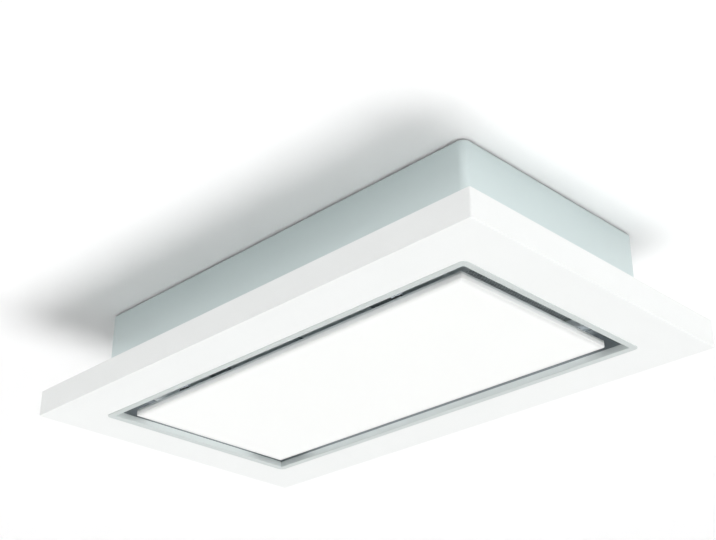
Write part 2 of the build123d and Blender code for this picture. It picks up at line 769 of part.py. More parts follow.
def scroll_outline(grow):
    """The scroll seen from above, as a face that is larger than its inside by grow all round."""
    arcs = scroll_arcs()
    low_y, high_y = outlet_limits()
    first = arcs[0][0]
    last, last_radius = arcs[3]
    tongue_y = low_y - grow
    tongue_angle = degrees(asin((tongue_y - last[1]) / (last_radius + grow)))
    start = (OUTLET_X, high_y + grow)
    lines = [Line(start, (first[0], high_y + grow))]
    for number, (centre, radius) in enumerate(arcs):
        sweep_angle = 90 if number < 3 else tongue_angle
        lines.append(CenterArc(centre, radius + grow, 90 + 90 * number, sweep_angle))
    tongue = lines[-1] @ 1
    lines.append(Line(tongue, (OUTLET_X, tongue_y)))
    lines.append(Line((OUTLET_X, tongue_y), start))
    return make_face(Wire(lines))


def scroll_slab(grow, low, high):
    """The scroll's outline as a slab between two levels."""
    return Pos(0, 0, low) * extrude(scroll_outline(grow), high - low)


def flange_points():
    """Where the cover is screwed to the scroll's flange."""
    points = []
    reach = SHEET + SCROLL_FLANGE / 2
    for number, (centre, radius) in enumerate(scroll_arcs()[:3]):
        for turn in (25, 65):
            angle = radians(90 + 90 * number + turn)
            points.append(
                (centre[0] + (radius + reach) * cos(angle), centre[1] + (radius + reach) * sin(angle))
            )
    points.append(((BLOWER_X + OUTLET_X) / 2, outlet_limits()[1] + reach))
    return points


def make_scroll():
    """The spiral housing: a floor with the inlet's hole, one strip of wall, and a screwed rim."""
    rim_low = COVER_LOW - SHEET
    floor = scroll_slab(SHEET, SCROLL_LOW, SCROLL_FLOOR)
    floor -= peg(BLOWER_X, BLOWER_Y, INLET_RADIUS + SHEET + FIT, SCROLL_LOW, SCROLL_FLOOR)
    walls = scroll_slab(SHEET, SCROLL_FLOOR, rim_low) - scroll_slab(0, SCROLL_FLOOR, rim_low)
    rim = scroll_slab(SHEET + SCROLL_FLANGE, rim_low, COVER_LOW) - scroll_slab(0, rim_low, COVER_LOW)
    for x, y in flange_points():
        rim -= peg(x, y, SCREW_RADIUS + FIT, rim_low, COVER_LOW)
    return welded(floor, walls, rim)


def bush_points():
    """The three soft feet that carry the motor."""
    points = []
    for number in range(BUSH_COUNT):
        angle = radians(90 + 360 * number / BUSH_COUNT)
        points.append((BLOWER_X + BUSH_CIRCLE * cos(angle), BLOWER_Y + BUSH_CIRCLE * sin(angle)))
    return points


def make_blower_cover():
    cover = scroll_slab(SHEET + SCROLL_FLANGE, COVER_LOW, COVER_HIGH)
    cover -= peg(BLOWER_X, BLOWER_Y, MOTOR_RADIUS + MOTOR_HOLE_GAP, COVER_LOW, COVER_HIGH)
    for x, y in flange_points():
        cover -= peg(x, y, SCREW_RADIUS + FIT, COVER_LOW, COVER_HIGH)
    for x, y in bush_points():
        cover -= peg(x, y, MOTOR_SCREW_RADIUS + FIT, COVER_LOW, COVER_HIGH)
    return cover


def make_blower_screws():
    screws = Part()
    for x, y in flange_points():
        low = COVER_LOW - SHEET
        screws += (
            peg(x, y, SCREW_HEAD_RADIUS, COVER_HIGH, COVER_HIGH + SCREW_HEAD_HEIGHT)
            + peg(x, y, SCREW_RADIUS, low, COVER_HIGH)
            + hexagon(x, y, NUT_RADIUS, low - NUT_HEIGHT, low)
        )
    return screws


def make_inlet_ring():
    """A bell mouth: a flat flange under the scroll that curls up into its inlet."""
    low = SCROLL_LOW - SHEET
    high = SCROLL_FLOOR + INLET_DEPTH - FIT
    outer = INLET_RADIUS + SHEET
    ring = pipe(BLOWER_X, BLOWER_Y, outer, INLET_RADIUS, low, high)
    ring += pipe(BLOWER_X, BLOWER_Y, outer + INLET_FLANGE, INLET_RADIUS, low, SCROLL_LOW)
    mouth = ring.edges().filter_by(GeomType.CIRCLE).filter_by(
        lambda edge: edge.radius < INLET_RADIUS + SHEET / 2 and edge.center().Z < SCROLL_LOW - SHEET / 2
    )
    return fillet(mouth, SHEET * 0.8)


def make_hangers():
    """Two Z-section bars between the top plate and the blower's cover."""
    hangers = Part()
    length = around(BLOWER_X, HANGER_LENGTH)
    for side in (-1, 1):
        web_y = BLOWER_Y + side * HANGER_SPACING / 2
        web = sorted((web_y, web_y + side * SHEET))
        lower = sorted((web_y + side * SHEET, web_y + side * (SHEET - HANGER_FLANGE)))
        upper = sorted((web_y, web_y + side * HANGER_FLANGE))
        hangers += (
            block(length, web, (COVER_HIGH, PLATE_UNDER))
            + block(length, lower, (COVER_HIGH, COVER_HIGH + SHEET))
            + block(length, upper, (PLATE_UNDER - SHEET, PLATE_UNDER))
        )
    return hangers


# ---------------------------------------------------------------- impeller and motor

def make_blade():
    """One thin curved blade, from the backplate down to the rim."""
    inner = IMPELLER_RADIUS - BLADE_DEPTH
    outer = IMPELLER_RADIUS - BLADE_THICKNESS

    def at(radius, turn):
        angle = radians(turn)
        return (radius * cos(angle), radius * sin(angle))

    thick = degrees(BLADE_THICKNESS / IMPELLER_RADIUS)
    middle = (inner + outer) / 2
    front = ThreePointArc(at(inner, 0), at(middle, -BLADE_SWEEP / 4), at(outer, -BLADE_SWEEP))
    back = ThreePointArc(
        at(outer, thick - BLADE_SWEEP), at(middle, thick - BLADE_SWEEP / 4), at(inner, thick)
    )
    outline = make_face(Wire([front, Line(front @ 1, back @ 0), back, Line(back @ 1, front @ 0)]))
    low = RIM_LOW + IMPELLER_RIM / 2
    return Pos(0, 0, low) * extrude(outline, BACKPLATE_LOW - low)


def make_impeller_blades():
    """A ring of blades under the backplate, and a rim that ties them."""
    outer = IMPELLER_RADIUS
    ring = pipe(0, 0, outer, outer - BLADE_DEPTH - SHEET, RIM_LOW, RIM_HIGH)
    blade = make_blade()
    ring += [Rot(0, 0, 360 * number / BLADE_COUNT) * blade for number in range(BLADE_COUNT)]
    return Pos(BLOWER_X, BLOWER_Y, 0) * ring


def make_impeller_backplate():
    """A disc that is dished round the motor, with a hub on the shaft."""
    disc = pipe(0, 0, IMPELLER_RADIUS, CUP_RADIUS, BACKPLATE_LOW, BACKPLATE_HIGH)
    disc += pipe(0, 0, CUP_RADIUS + SHEET, CUP_RADIUS, CUP_LOW, BACKPLATE_HIGH)
    disc += peg(0, 0, CUP_RADIUS + SHEET, CUP_LOW, CUP_LOW + SHEET)
    disc += peg(0, 0, HUB_RADIUS, HUB_LOW, CUP_LOW + SHEET)
    disc -= peg(0, 0, SHAFT_RADIUS + RUNNING_FIT, HUB_LOW, CUP_LOW + SHEET)
    return Pos(BLOWER_X, BLOWER_Y, 0) * disc


def make_motor_shaft():
    return peg(BLOWER_X, BLOWER_Y, SHAFT_RADIUS, SHAFT_LOW, MOTOR_FLANGE_LOW)


def make_impeller_nut():
    high = HUB_LOW - RUNNING_FIT
    nut = hexagon(BLOWER_X, BLOWER_Y, NUT_SIZE, high - SHAFT_NUT_HEIGHT, high)
    return nut - peg(BLOWER_X, BLOWER_Y, SHAFT_RADIUS + RUNNING_FIT, high - SHAFT_NUT_HEIGHT, high)


def make_motor_body():
    body = peg(BLOWER_X, BLOWER_Y, MOTOR_RADIUS, MOTOR_LOW, MOTOR_FLANGE_HIGH)
    body = fillet(body.edges().group_by(Axis.Z)[0], MOTOR_RADIUS / 10)
    body += peg(BLOWER_X, BLOWER_Y, MOTOR_FLANGE_RADIUS, MOTOR_FLANGE_LOW, MOTOR_FLANGE_HIGH)
    cap_high = MOTOR_FLANGE_HIGH + MOTOR_CAP_HEIGHT
    body += peg(BLOWER_X, BLOWER_Y, MOTOR_CAP_RADIUS, MOTOR_FLANGE_HIGH, cap_high)
    body -= peg(BLOWER_X, BLOWER_Y, SHAFT_RADIUS + RUNNING_FIT, MOTOR_LOW, MOTOR_FLANGE_LOW + FIT)
    for x, y in bush_points():
        body -= peg(x, y, MOTOR_SCREW_RADIUS + FIT, MOTOR_FLANGE_LOW, MOTOR_FLANGE_HIGH)
    return body


def make_motor_bushes():
    bushes = Part()
    for x, y in bush_points():
        bushes += pipe(x, y, BUSH_RADIUS, MOTOR_SCREW_RADIUS + FIT, COVER_HIGH, MOTOR_FLANGE_LOW)
    return bushes


def make_motor_screws():
    screws = Part()
    for x, y in bush_points():
        screws += (
            peg(x, y, MOTOR_SCREW_HEAD_RADIUS, MOTOR_FLANGE_HIGH, MOTOR_FLANGE_HIGH + NUT_HEIGHT)
            + peg(x, y, MOTOR_SCREW_RADIUS, COVER_LOW, MOTOR_FLANGE_HIGH)
            + hexagon(x, y, MOTOR_SCREW_HEAD_RADIUS, COVER_LOW - NUT_HEIGHT, COVER_LOW)
        )
    return screws


# ---------------------------------------------------------------- outlet

def make_outlet_box():
    """A sheet box that turns the air from the scroll's outlet up to the collar."""
    low_y, high_y = outlet_limits()
    far_x = OUTLET_X + OUTLET_LENGTH
    near_y = collar_y() - COLLAR_RADIUS - OUTLET_MARGIN
    far_y = high_y + OUTLET_MARGIN
    box = block((OUTLET_X, far_x), (near_y, far_y), (BOX_LOW, BOX_HIGH))
    box -= block(
        (OUTLET_X + SHEET, far_x - SHEET),
        (near_y + SHEET, far_y - SHEET),
        (BOX_LOW + SHEET, BOX_HIGH - SHEET),
    )
    box -= block((OUTLET_X, OUTLET_X + SHEET), (low_y, high_y), (SCROLL_FLOOR, COVER_LOW))
    return box - peg(COLLAR_X, collar_y(), COLLAR_RADIUS - SHEET, BOX_HIGH - SHEET, BOX_HIGH)


def make_duct_collar():
    """A spigot above the ceiling on a wider base, with a ledge that the damper flaps close on."""
    x, y = COLLAR_X, collar_y()
    inner = COLLAR_RADIUS - SHEET
    collar = pipe(x, y, COLLAR_RADIUS, inner, BOX_HIGH, COLLAR_HEIGHT)
    collar += pipe(x, y, COLLAR_BASE_RADIUS, inner, BOX_HIGH, -FIT)
    collar += pipe(x, y, COLLAR_RADIUS + COLLAR_FLANGE, inner, BOX_HIGH, BOX_HIGH + SHEET)
    ledge_high = DAMPER_Z - DAMPER_SHEET / 2 - FIT
    collar += pipe(x, y, COLLAR_RADIUS, inner - DAMPER_LEDGE, BOX_HIGH, ledge_high)
    reach = (x - 2 * COLLAR_RADIUS, x + 2 * COLLAR_RADIUS)
    return collar - bar_along_x(reach, y, DAMPER_Z, DAMPER_PIN_RADIUS + RUNNING_FIT)


def make_damper_pin():
    x, y = COLLAR_X, collar_y()
    reach = COLLAR_BASE_RADIUS + DAMPER_PIN_RADIUS
    return bar_along_x((x - reach, x + reach), y, DAMPER_Z, DAMPER_PIN_RADIUS)


def make_damper_flap(side):
    """Half a disc with two knuckles on the pin, between the other flap's two."""
    radius = COLLAR_RADIUS - SHEET - DAMPER_GAP
    flap = Cylinder(radius, DAMPER_SHEET) - Pos(0, -radius, 0) * Box(
        2 * radius, 2 * radius, DAMPER_SHEET
    )
    own_knuckles = (DAMPER_KNUCKLE_X, DAMPER_KNUCKLE_X - 4 * DAMPER_KNUCKLE_LENGTH)
    relief = DAMPER_KNUCKLE_RADIUS + DAMPER_GAP
    flap -= Box(2 * radius, 2 * relief, DAMPER_SHEET)
    for middle in own_knuckles:
        width = around(middle, DAMPER_KNUCKLE_LENGTH - FIT)
        flap += block(width, (0, relief), around(0, DAMPER_SHEET))
        flap += bar_along_x(width, 0, 0, DAMPER_KNUCKLE_RADIUS)
        flap -= bar_along_x(width, 0, 0, DAMPER_PIN_RADIUS + RUNNING_FIT)
    turn = 0 if side > 0 else 180
    return Pos(COLLAR_X, collar_y(), DAMPER_Z) * Rot(0, 0, turn) * flap


# ---------------------------------------------------------------- electrics

def make_control_box():
    """A plastic tray under the top plate, open below, with four stand-offs for the board."""
    x = (CONTROL_LOW_X, CONTROL_HIGH_X)
    y = around(CONTROL_Y, CONTROL_WIDTH)
    low = PLATE_UNDER - CONTROL_DEPTH
    tray = block(x, y, (low, PLATE_UNDER))
    tray = fillet(tray.edges().filter_by(Axis.Z), 2 * CONTROL_WALL)
    tray -= block(
        (x[0] + CONTROL_WALL, x[1] - CONTROL_WALL),
        (y[0] + CONTROL_WALL, y[1] - CONTROL_WALL),
        (low, PLATE_UNDER - CONTROL_WALL),
    )
    for side_x in (-1, 1):
        for side_y in (-1, 1):
            tray += peg(
                CONTROL_X + side_x * (BOARD_LENGTH / 2 - 2 * STANDOFF_RADIUS),
                CONTROL_Y + side_y * (BOARD_WIDTH / 2 - 2 * STANDOFF_RADIUS),
                STANDOFF_RADIUS,
                BOARD_HIGH,
                PLATE_UNDER - CONTROL_WALL,
            )
    lead_hole = bar_along_x((x[0], x[0] + CONTROL_WALL), CONTROL_Y, lead_level(), LEAD_RADIUS + FIT)
    return tray - lead_hole


def make_control_cover():
    """A flat lid with a rim that sits inside the control box."""
    low = PLATE_UNDER - CONTROL_DEPTH
    half_x = CONTROL_LENGTH / 2
    half_y = CONTROL_WIDTH / 2
    inset = CONTROL_WALL + FIT
    lid = plate(half_x, half_y, low - CONTROL_WALL, low, 2 * CONTROL_WALL)
    rim = border(half_x - inset, half_y - inset, CONTROL_WALL, low, low + 3 * CONTROL_WALL)
    place = Pos(CONTROL_X, CONTROL_Y, 0)
    return welded(place * lid, place * rim)


def make_control_board():
    return block(
        around(CONTROL_X, BOARD_LENGTH), around(CONTROL_Y, BOARD_WIDTH), (BOARD_LOW, BOARD_HIGH)
    )


def make_terminal_block():
    """A row of screw terminals under the board."""
    y = CONTROL_Y - BOARD_WIDTH / 4
    x = around(CONTROL_X, TERMINAL_LENGTH)
    terminals = block(x, around(y, TERMINAL_WIDTH), (BOARD_LOW - TERMINAL_HEIGHT, BOARD_LOW))
    pitch = TERMINAL_LENGTH / TERMINAL_WAYS
    for number in range(TERMINAL_WAYS):
        terminals -= block(
            around(x[0] + (number + 0.5) * pitch, TERMINAL_MOUTH),
            around(y, TERMINAL_MOUTH),
            (BOARD_LOW - TERMINAL_HEIGHT, BOARD_LOW - TERMINAL_HEIGHT / 2),
        )
    return terminals


def make_capacitor():
    """A round can that lies under the board."""
    y = CONTROL_Y + BOARD_WIDTH / 4
    can = bar_along_x(
        around(CONTROL_X, CAPACITOR_LENGTH), y, BOARD_LOW - CAPACITOR_RADIUS, CAPACITOR_RADIUS
    )
    return fillet(can.edges().filter_by(GeomType.CIRCLE), CAPACITOR_RADIUS / 6)


def make_led_driver():
    driver = block(
        (CONTROL_HIGH_X - DRIVER_LENGTH, CONTROL_HIGH_X),
        around(DRIVER_Y, DRIVER_WIDTH),
        (PLATE_UNDER - DRIVER_HEIGHT, PLATE_UNDER),
    )
    return fillet(driver.edges().filter_by(Axis.Z), 2 * CONTROL_WALL)


def make_cable_gland():
    """A gland down through the top plate, with the mains cable's bore."""
    gland = peg(GLAND_X, CONTROL_Y, GLAND_BODY_RADIUS, PLATE_UNDER - GLAND_TAIL, CASING_TOP)
    gland += hexagon(GLAND_X, CONTROL_Y, GLAND_HEAD_RADIUS, CASING_TOP, CASING_TOP + GLAND_HEAD_HEIGHT)
    return gland - peg(GLAND_X, CONTROL_Y, GLAND_BORE_RADIUS, PLATE_UNDER - GLAND_TAIL, 0)


def make_gland_nut():
    low = PLATE_UNDER - GLAND_NUT_HEIGHT
    nut = hexagon(GLAND_X, CONTROL_Y, GLAND_HEAD_RADIUS, low, PLATE_UNDER)
    return nut - peg(GLAND_X, CONTROL_Y, GLAND_BODY_RADIUS + RUNNING_FIT, low, PLATE_UNDER)


def lead_level():
    """The motor's lead runs half way up the motor's cap."""
    return MOTOR_FLANGE_HIGH + MOTOR_CAP_HEIGHT / 2


def make_motor_lead():
    """The lead from the motor's cap to the control box, in straight runs joined by arcs."""
    start_x = BLOWER_X + MOTOR_CAP_RADIUS
    z = lead_level()
    first_bend = start_x + (GLAND_X - start_x) * LEAD_FIRST_BEND
    second_bend = start_x + (GLAND_X - start_x) * LEAD_SECOND_BEND
    route = FilletPolyline(
        (start_x, BLOWER_Y, z),
        (first_bend, BLOWER_Y, z),
        (second_bend, CONTROL_Y + 2 * LEAD_BEND, z),
        (GLAND_X, CONTROL_Y + 2 * LEAD_BEND, z),
        (CONTROL_LOW_X - LEAD_BEND, CONTROL_Y, z),
        (CONTROL_LOW_X + CONTROL_WALL, CONTROL_Y, z),
        radius=LEAD_BEND / 2,
    )
    section = Plane(origin=route @ 0, z_dir=route % 0) * Circle(LEAD_RADIUS)
    return sweep(section, path=route)


# ---------------------------------------------------------------- the pieces, by name

write("ceiling_seal", make_seal())
write("top_plate", make_top_plate())
write("casing", make_casing())
write("lower_frame", make_lower_frame())
write("frame_top_cover", make_frame_top_cover())
write("trim_ring", make_trim_ring())
write("inner_channel", make_inner_channel())
write("filter_grid", make_filter_grid())
write("clamp_screws", make_clamp_screws())
write("clamp_nuts", make_clamp_nuts())

for side, word in ((-1, "left"), (1, "right")):
    write(f"ceiling_rail_{word}", make_rail(side))
    write(f"filter_frame_{word}", make_filter_frame(side))
    write(f"filter_mesh_{word}", make_filter_mesh(side))
    write(f"filter_pad_{word}", make_filter_pad(side))
    write(f"filter_latch_{word}", make_filter_latch(side))
    write(f"hinge_bracket_{word}", make_hinge_bracket(side))
    write(f"hinge_arm_{word}", make_hinge_arm(side))

write("panel_tray", make_panel_tray())
write("panel_diffuser", make_panel_diffuser())
write("reflector_sheet", make_reflector())
write("light_guide", make_light_guide())
write("led_strips", make_led_strips())
write("light_socket", make_light_socket())
write("hinge_pins", make_hinge_pins())
write("strike_plates", make_strikes())
write("catch_magnets", make_magnets())
write("catch_brackets", make_catch_brackets())

write("blower_hangers", make_hangers())
write("blower_scroll", make_scroll())
write("blower_cover", make_blower_cover())
write("blower_screws", make_blower_screws())
write("inlet_ring", make_inlet_ring())
write("impeller_backplate", make_impeller_backplate())
write("impeller_blades", make_impeller_blades())
write("impeller_nut", make_impeller_nut())
write("motor_shaft", make_motor_shaft())
write("motor_body", make_motor_body())
write("motor_bushes", make_motor_bushes())
write("motor_screws", make_motor_screws())
write("outlet_box", make_outlet_box())
write("duct_collar", make_duct_collar())
write("damper_pin", make_damper_pin())
write("damper_flap_front", make_damper_flap(-1))
write("damper_flap_back", make_damper_flap(1))

write("control_box", make_control_box())
write("control_cover", make_control_cover())
write("control_board", make_control_board())
write("terminal_block", make_terminal_block())
write("run_capacitor", make_capacitor())
write("led_driver", make_led_driver())
write("cable_gland", make_cable_gland())
write("gland_nut", make_gland_nut())
write("motor_lead", make_motor_lead())
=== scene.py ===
"""Ceiling range hood, dressed for its render: a white frame and casing under a ceiling, with a lit panel.

Metres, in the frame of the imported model: z = 0 is the ceiling, +X runs along the hood, and +Y points to the
long side that the centre panel is hinged on.
"""

import json
from math import cos, pi, radians, sin

import bpy
from mathutils import Matrix, Vector


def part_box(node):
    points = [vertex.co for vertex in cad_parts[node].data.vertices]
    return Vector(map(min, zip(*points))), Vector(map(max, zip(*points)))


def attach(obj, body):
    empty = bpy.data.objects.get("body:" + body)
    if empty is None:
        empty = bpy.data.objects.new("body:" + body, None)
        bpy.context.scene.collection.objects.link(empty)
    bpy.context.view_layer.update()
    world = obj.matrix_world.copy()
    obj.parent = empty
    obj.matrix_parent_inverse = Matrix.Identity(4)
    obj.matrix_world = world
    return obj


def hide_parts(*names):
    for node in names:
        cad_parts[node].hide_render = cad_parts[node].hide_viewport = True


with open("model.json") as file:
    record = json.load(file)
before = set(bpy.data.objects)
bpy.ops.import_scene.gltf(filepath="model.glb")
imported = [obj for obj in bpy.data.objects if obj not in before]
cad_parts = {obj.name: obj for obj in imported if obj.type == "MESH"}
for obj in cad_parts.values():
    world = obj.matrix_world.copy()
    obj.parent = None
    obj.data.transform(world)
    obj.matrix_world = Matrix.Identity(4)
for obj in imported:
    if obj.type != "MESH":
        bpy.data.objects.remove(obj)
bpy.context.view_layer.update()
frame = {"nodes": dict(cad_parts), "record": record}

nodes = frame["nodes"]
MM = 0.001


# ---------------------------------------------------------------- camera

CAMERA_PLACE = (1.6965, -1.6876, -1.216)   # from a perspective solve of the hood's edges
CAMERA_YAW = 0.784                         # radians from -X towards +Y
CAMERA_PITCH = radians(27.32)              # above the horizon
CAMERA_LENS = 65.05                        # millimetres, as the next one
SENSOR_WIDTH = 36.0
CAMERA_FAR = 50.0                          # metres that it sees


def place_object(name, data, turn, place=(0, 0, 0)):
    """A camera or lamp in the scene, turned by a 3 x 3 matrix."""
    holder = bpy.data.objects.new(name, data)
    holder.matrix_world = Matrix.Translation(place) @ turn.to_4x4()
    bpy.context.scene.collection.objects.link(holder)
    return holder


def make_camera():
    """The photograph's view: from below, past the hood's near corner."""
    forward = Vector(
        (
            -cos(CAMERA_YAW) * cos(CAMERA_PITCH),
            sin(CAMERA_YAW) * cos(CAMERA_PITCH),
            sin(CAMERA_PITCH),
        )
    )
    right = Vector((sin(CAMERA_YAW), cos(CAMERA_YAW), 0))
    up = right.cross(forward)
    lens = bpy.data.cameras.new("photo_camera")
    lens.lens = CAMERA_LENS
    lens.sensor_width = SENSOR_WIDTH
    lens.sensor_fit = "HORIZONTAL"
    lens.clip_end = CAMERA_FAR
    turn = Matrix((right, up, -forward)).transposed()
    bpy.context.scene.camera = place_object("photo_camera", lens, turn, CAMERA_PLACE)


# ---------------------------------------------------------------- materials

NOISE_SPAN = (0.3, 0.7)       # nearly all of a noise's values lie in it
HAND_WAVES = 7.0              # noise scale whose patches are about a hand wide
FINGER_WAVES = 22.0           # and about a finger wide


def new_material(name):
    """A node material, its tree and its shader."""
    material = bpy.data.materials.new(name)
    material.use_nodes = True
    tree = material.node_tree
    return material, tree, tree.nodes["Principled BSDF"]


def object_point(tree, stretch=(1, 1, 1)):
    """Object coordinates, stretched along each axis, so that a pattern can run one way."""
    place = tree.nodes.new("ShaderNodeTexCoord")
    mapping = tree.nodes.new("ShaderNodeMapping")
    mapping.inputs["Scale"].default_value = stretch
    tree.links.new(place.outputs["Object"], mapping.inputs["Vector"])
    return mapping.outputs["Vector"]


def noise(tree, point, scale, detail=2.0):
    """Soft random patches, from 0 to 1."""
    texture = tree.nodes.new("ShaderNodeTexNoise")
    texture.inputs["Scale"].default_value = scale
    texture.inputs["Detail"].default_value = detail
    tree.links.new(point, texture.inputs["Vector"])
    return texture.outputs["Fac"]


def blend_colours(tree, factor, low, high):
    """A colour that drifts between two tones."""
    mix = tree.nodes.new("ShaderNodeMix")
    mix.data_type = "RGBA"
    mix.inputs["A"].default_value = (*low, 1)
    mix.inputs["B"].default_value = (*high, 1)
    tree.links.new(factor, mix.inputs["Factor"])
    return mix.outputs["Result"]


def map_range(tree, value, source, target, interpolation="LINEAR"):
    """A number carried from one span to another, and held at both ends."""
    span = tree.nodes.new("ShaderNodeMapRange")
    span.interpolation_type = interpolation
    for socket, limit in zip(("From Min", "From Max", "To Min", "To Max"), (*source, *target)):
        span.inputs[socket].default_value = limit
    tree.links.new(value, span.inputs["Value"])
    return span.outputs["Result"]


def blend_values(tree, factor, limits):
    """A number that drifts between two limits with a noise."""
    return map_range(tree, factor, NOISE_SPAN, limits)


def arithmetic(tree, operation, first, second=None):
    """One operation on one or two numbers or outputs."""
    step = tree.nodes.new("ShaderNodeMath")
    step.operation = operation
    for socket, term in zip(step.inputs, (first, second)):
        if isinstance(term, (int, float)):
            socket.default_value = term
        elif term is not None:
            tree.links.new(term, socket)
    return step.outputs["Value"]


def add_bump(tree, shader, height, strength, depth):
    """A fine relief in the surface's shading."""
    bump = tree.nodes.new("ShaderNodeBump")
    bump.inputs["Strength"].default_value = strength
    bump.inputs["Distance"].default_value = depth
    tree.links.new(height, bump.inputs["Height"])
    tree.links.new(bump.outputs["Normal"], shader.inputs["Normal"])


def linear(*channels):
    """Display values from 0 to 1, as the shader's linear light."""
    return tuple(
        value / 12.92 if value <= 0.04045 else ((value + 0.055) / 1.055) ** 2.4 for value in channels
    )


def shaded(colour, factor):
    """A colour made darker or lighter."""
    return tuple(min(1.0, channel * factor) for channel in colour)


def surface(name, colour, drift, roughness, metallic=0.0):
    """Drift is how much the tone darkens in patches, and it lightens by a third of that.

    Roughness is its low and its high limit.
    """
    material, tree, shader = new_material(name)
    point = object_point(tree)
    broad = noise(tree, point, HAND_WAVES, detail=3.0)
    tone = blend_colours(tree, broad, shaded(colour, 1 - drift), shaded(colour, 1 + drift / 3))
    tree.links.new(tone, shader.inputs["Base Color"])
    wear = noise(tree, point, FINGER_WAVES, detail=4.0)
    tree.links.new(blend_values(tree, wear, roughness), shader.inputs["Roughness"])
    shader.inputs["Metallic"].default_value = metallic
    return material, tree, shader


def powder_paint(name, colour, drift=0.012):
    """Powder coat: a faint orange peel a few millimetres across."""
    material, tree, shader = surface(name, colour, drift, roughness=(0.36, 0.46))
    peel = noise(tree, object_point(tree), scale=420.0, detail=1.0)
    add_bump(tree, shader, peel, strength=0.12, depth=0.4 * MM)
    return material


def pearl_lacquer(name, colour):
    """A smooth metallic lacquer, so that the ceiling and its shadow show softly in it."""
    material, tree, shader = surface(name, colour, drift=0.012, roughness=(0.30, 0.36), metallic=0.45)
    ripple = noise(tree, object_point(tree), scale=9.0, detail=1.0)
    add_bump(tree, shader, ripple, strength=0.05, depth=0.2 * MM)
    return material


GRAIN_ACROSS = 900.0          # noise scale across the grain lines
GRAIN_ALONG = 9.0


def brushed_metal(name, colour, along, roughness=(0.26, 0.36), drift=0.05):
    """Grain lines that run along one axis: 0 for X, 1 for Y, 2 for Z."""
    material, tree, shader = surface(name, colour, drift, roughness, metallic=1.0)
    stretch = [GRAIN_ACROSS] * 3
    stretch[along] = GRAIN_ALONG
    grain = noise(tree, object_point(tree, stretch), scale=1.0)
    add_bump(tree, shader, grain, strength=0.25, depth=0.15 * MM)
    return material


def satin_metal(name, colour):
    """Anodised aluminium with a milky bloom, so that it scatters most of its light."""
    material, tree, shader = surface(name, colour, drift=0.02, roughness=(0.42, 0.52), metallic=0.3)
    bloom = noise(tree, object_point(tree), scale=650.0)
    add_bump(tree, shader, bloom, strength=0.12, depth=0.1 * MM)
    return material


SPANGLE_SCALE = 85.0          # zinc crystals to a metre
SPANGLE_TONES = (0.84, 1.08)  # darkest and lightest crystal
SPANGLE_GLOSS = (0.32, 0.5)


def galvanised_sheet(name, colour):
    """Zinc spangle: flat crystals of slightly different tone, a centimetre across."""
    material, tree, shader = new_material(name)
    point = object_point(tree)
    crystals = tree.nodes.new("ShaderNodeTexVoronoi")
    crystals.inputs["Scale"].default_value = SPANGLE_SCALE
    tree.links.new(point, crystals.inputs["Vector"])
    grey = tree.nodes.new("ShaderNodeSeparateColor")
    tree.links.new(crystals.outputs["Color"], grey.inputs["Color"])
    tone = blend_colours(tree, grey.outputs["Red"], *(shaded(colour, factor) for factor in SPANGLE_TONES))
    tree.links.new(tone, shader.inputs["Base Color"])
    gloss = blend_values(tree, grey.outputs["Green"], SPANGLE_GLOSS)
    tree.links.new(gloss, shader.inputs["Roughness"])
    shader.inputs["Metallic"].default_value = 0.85
    add_bump(tree, shader, noise(tree, point, scale=60.0, detail=3.0), strength=0.1, depth=0.2 * MM)
    return material


def moulded_plastic(name, colour, grain=700.0, roughness=(0.42, 0.58)):
    """A spark-eroded mould's fine grain."""
    material, tree, shader = surface(name, colour, drift=0.05, roughness=roughness)
    add_bump(tree, shader, noise(tree, object_point(tree), grain), strength=0.2, depth=0.15 * MM)
    return material


PORES = 600.0                 # to a metre


def soft_foam(name, colour):
    """Foam, wool or rubber: matt, with open pores."""
    material, tree, shader = surface(name, colour, drift=0.25, roughness=(0.8, 0.95))
    pores = tree.nodes.new("ShaderNodeTexVoronoi")
    pores.inputs["Scale"].default_value = PORES
    tree.links.new(object_point(tree), pores.inputs["Vector"])
    add_bump(tree, shader, pores.outputs["Distance"], strength=0.5, depth=0.5 * MM)
    return material


PANEL_GLOW = 0.17
PANEL_WARMTH = (1.0, 0.995, 0.975)
PANEL_DRIFT = (0.985, 1.0)                # how even its glow is
PANEL_EDGE_GLOW = 0.20                    # of its side wall
PANEL_RIM_SHADE_WIDTH = 13.0 * MM               # width of the rim over which the face's glow fades, as painted shade for a rounded edge
PANEL_SIDE_START = (0.2 * MM, 1.5 * MM)   # above the face, where the side wall's glow sets in


def opal_acrylic(name):
    """Lit from behind: even on the face, and bright up the side wall; over its last centimetre the face's
    glow fades, which is painted shade for a rounded rim beside the slot.
    """
    material, tree, shader = new_material(name)
    low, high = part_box("panel_diffuser")
    point = object_point(tree)
    split = tree.nodes.new("ShaderNodeSeparateXYZ")
    tree.links.new(point, split.inputs["Vector"])
    insets = []
    for letter, edge in zip("XY", high):
        reach = arithmetic(tree, "ABSOLUTE", split.outputs[letter])
        insets.append(arithmetic(tree, "SUBTRACT", edge, reach))
    inset = arithmetic(tree, "MINIMUM", *insets)
    # the face's glow falls off towards the rim: painted shade that stands in for the shading of a rounded
    # edge
    face_glow_with_painted_rim_shade = map_range(tree, inset, (0.0, PANEL_RIM_SHADE_WIDTH), (0.0, PANEL_GLOW), "SMOOTHSTEP")
    heights = [low[2] + rise for rise in PANEL_SIDE_START]
    side = map_range(tree, split.outputs["Z"], heights, (0.0, PANEL_EDGE_GLOW))
    drift = blend_values(tree, noise(tree, point, scale=5.0), PANEL_DRIFT)
    glow = arithmetic(tree, "MULTIPLY", arithmetic(tree, "MAXIMUM", face_glow_with_painted_rim_shade, side), drift)
    tree.links.new(glow, shader.inputs["Emission Strength"])
    shader.inputs["Base Color"].default_value = (*linear(0.90, 0.905, 0.90), 1)
    shader.inputs["Emission Color"].default_value = (*PANEL_WARMTH, 1)
    shader.inputs["Roughness"].default_value = 0.4
    frost = noise(tree, point, scale=900.0, detail=1.0)
    add_bump(tree, shader, frost, strength=0.05, depth=0.1 * MM)
    return material


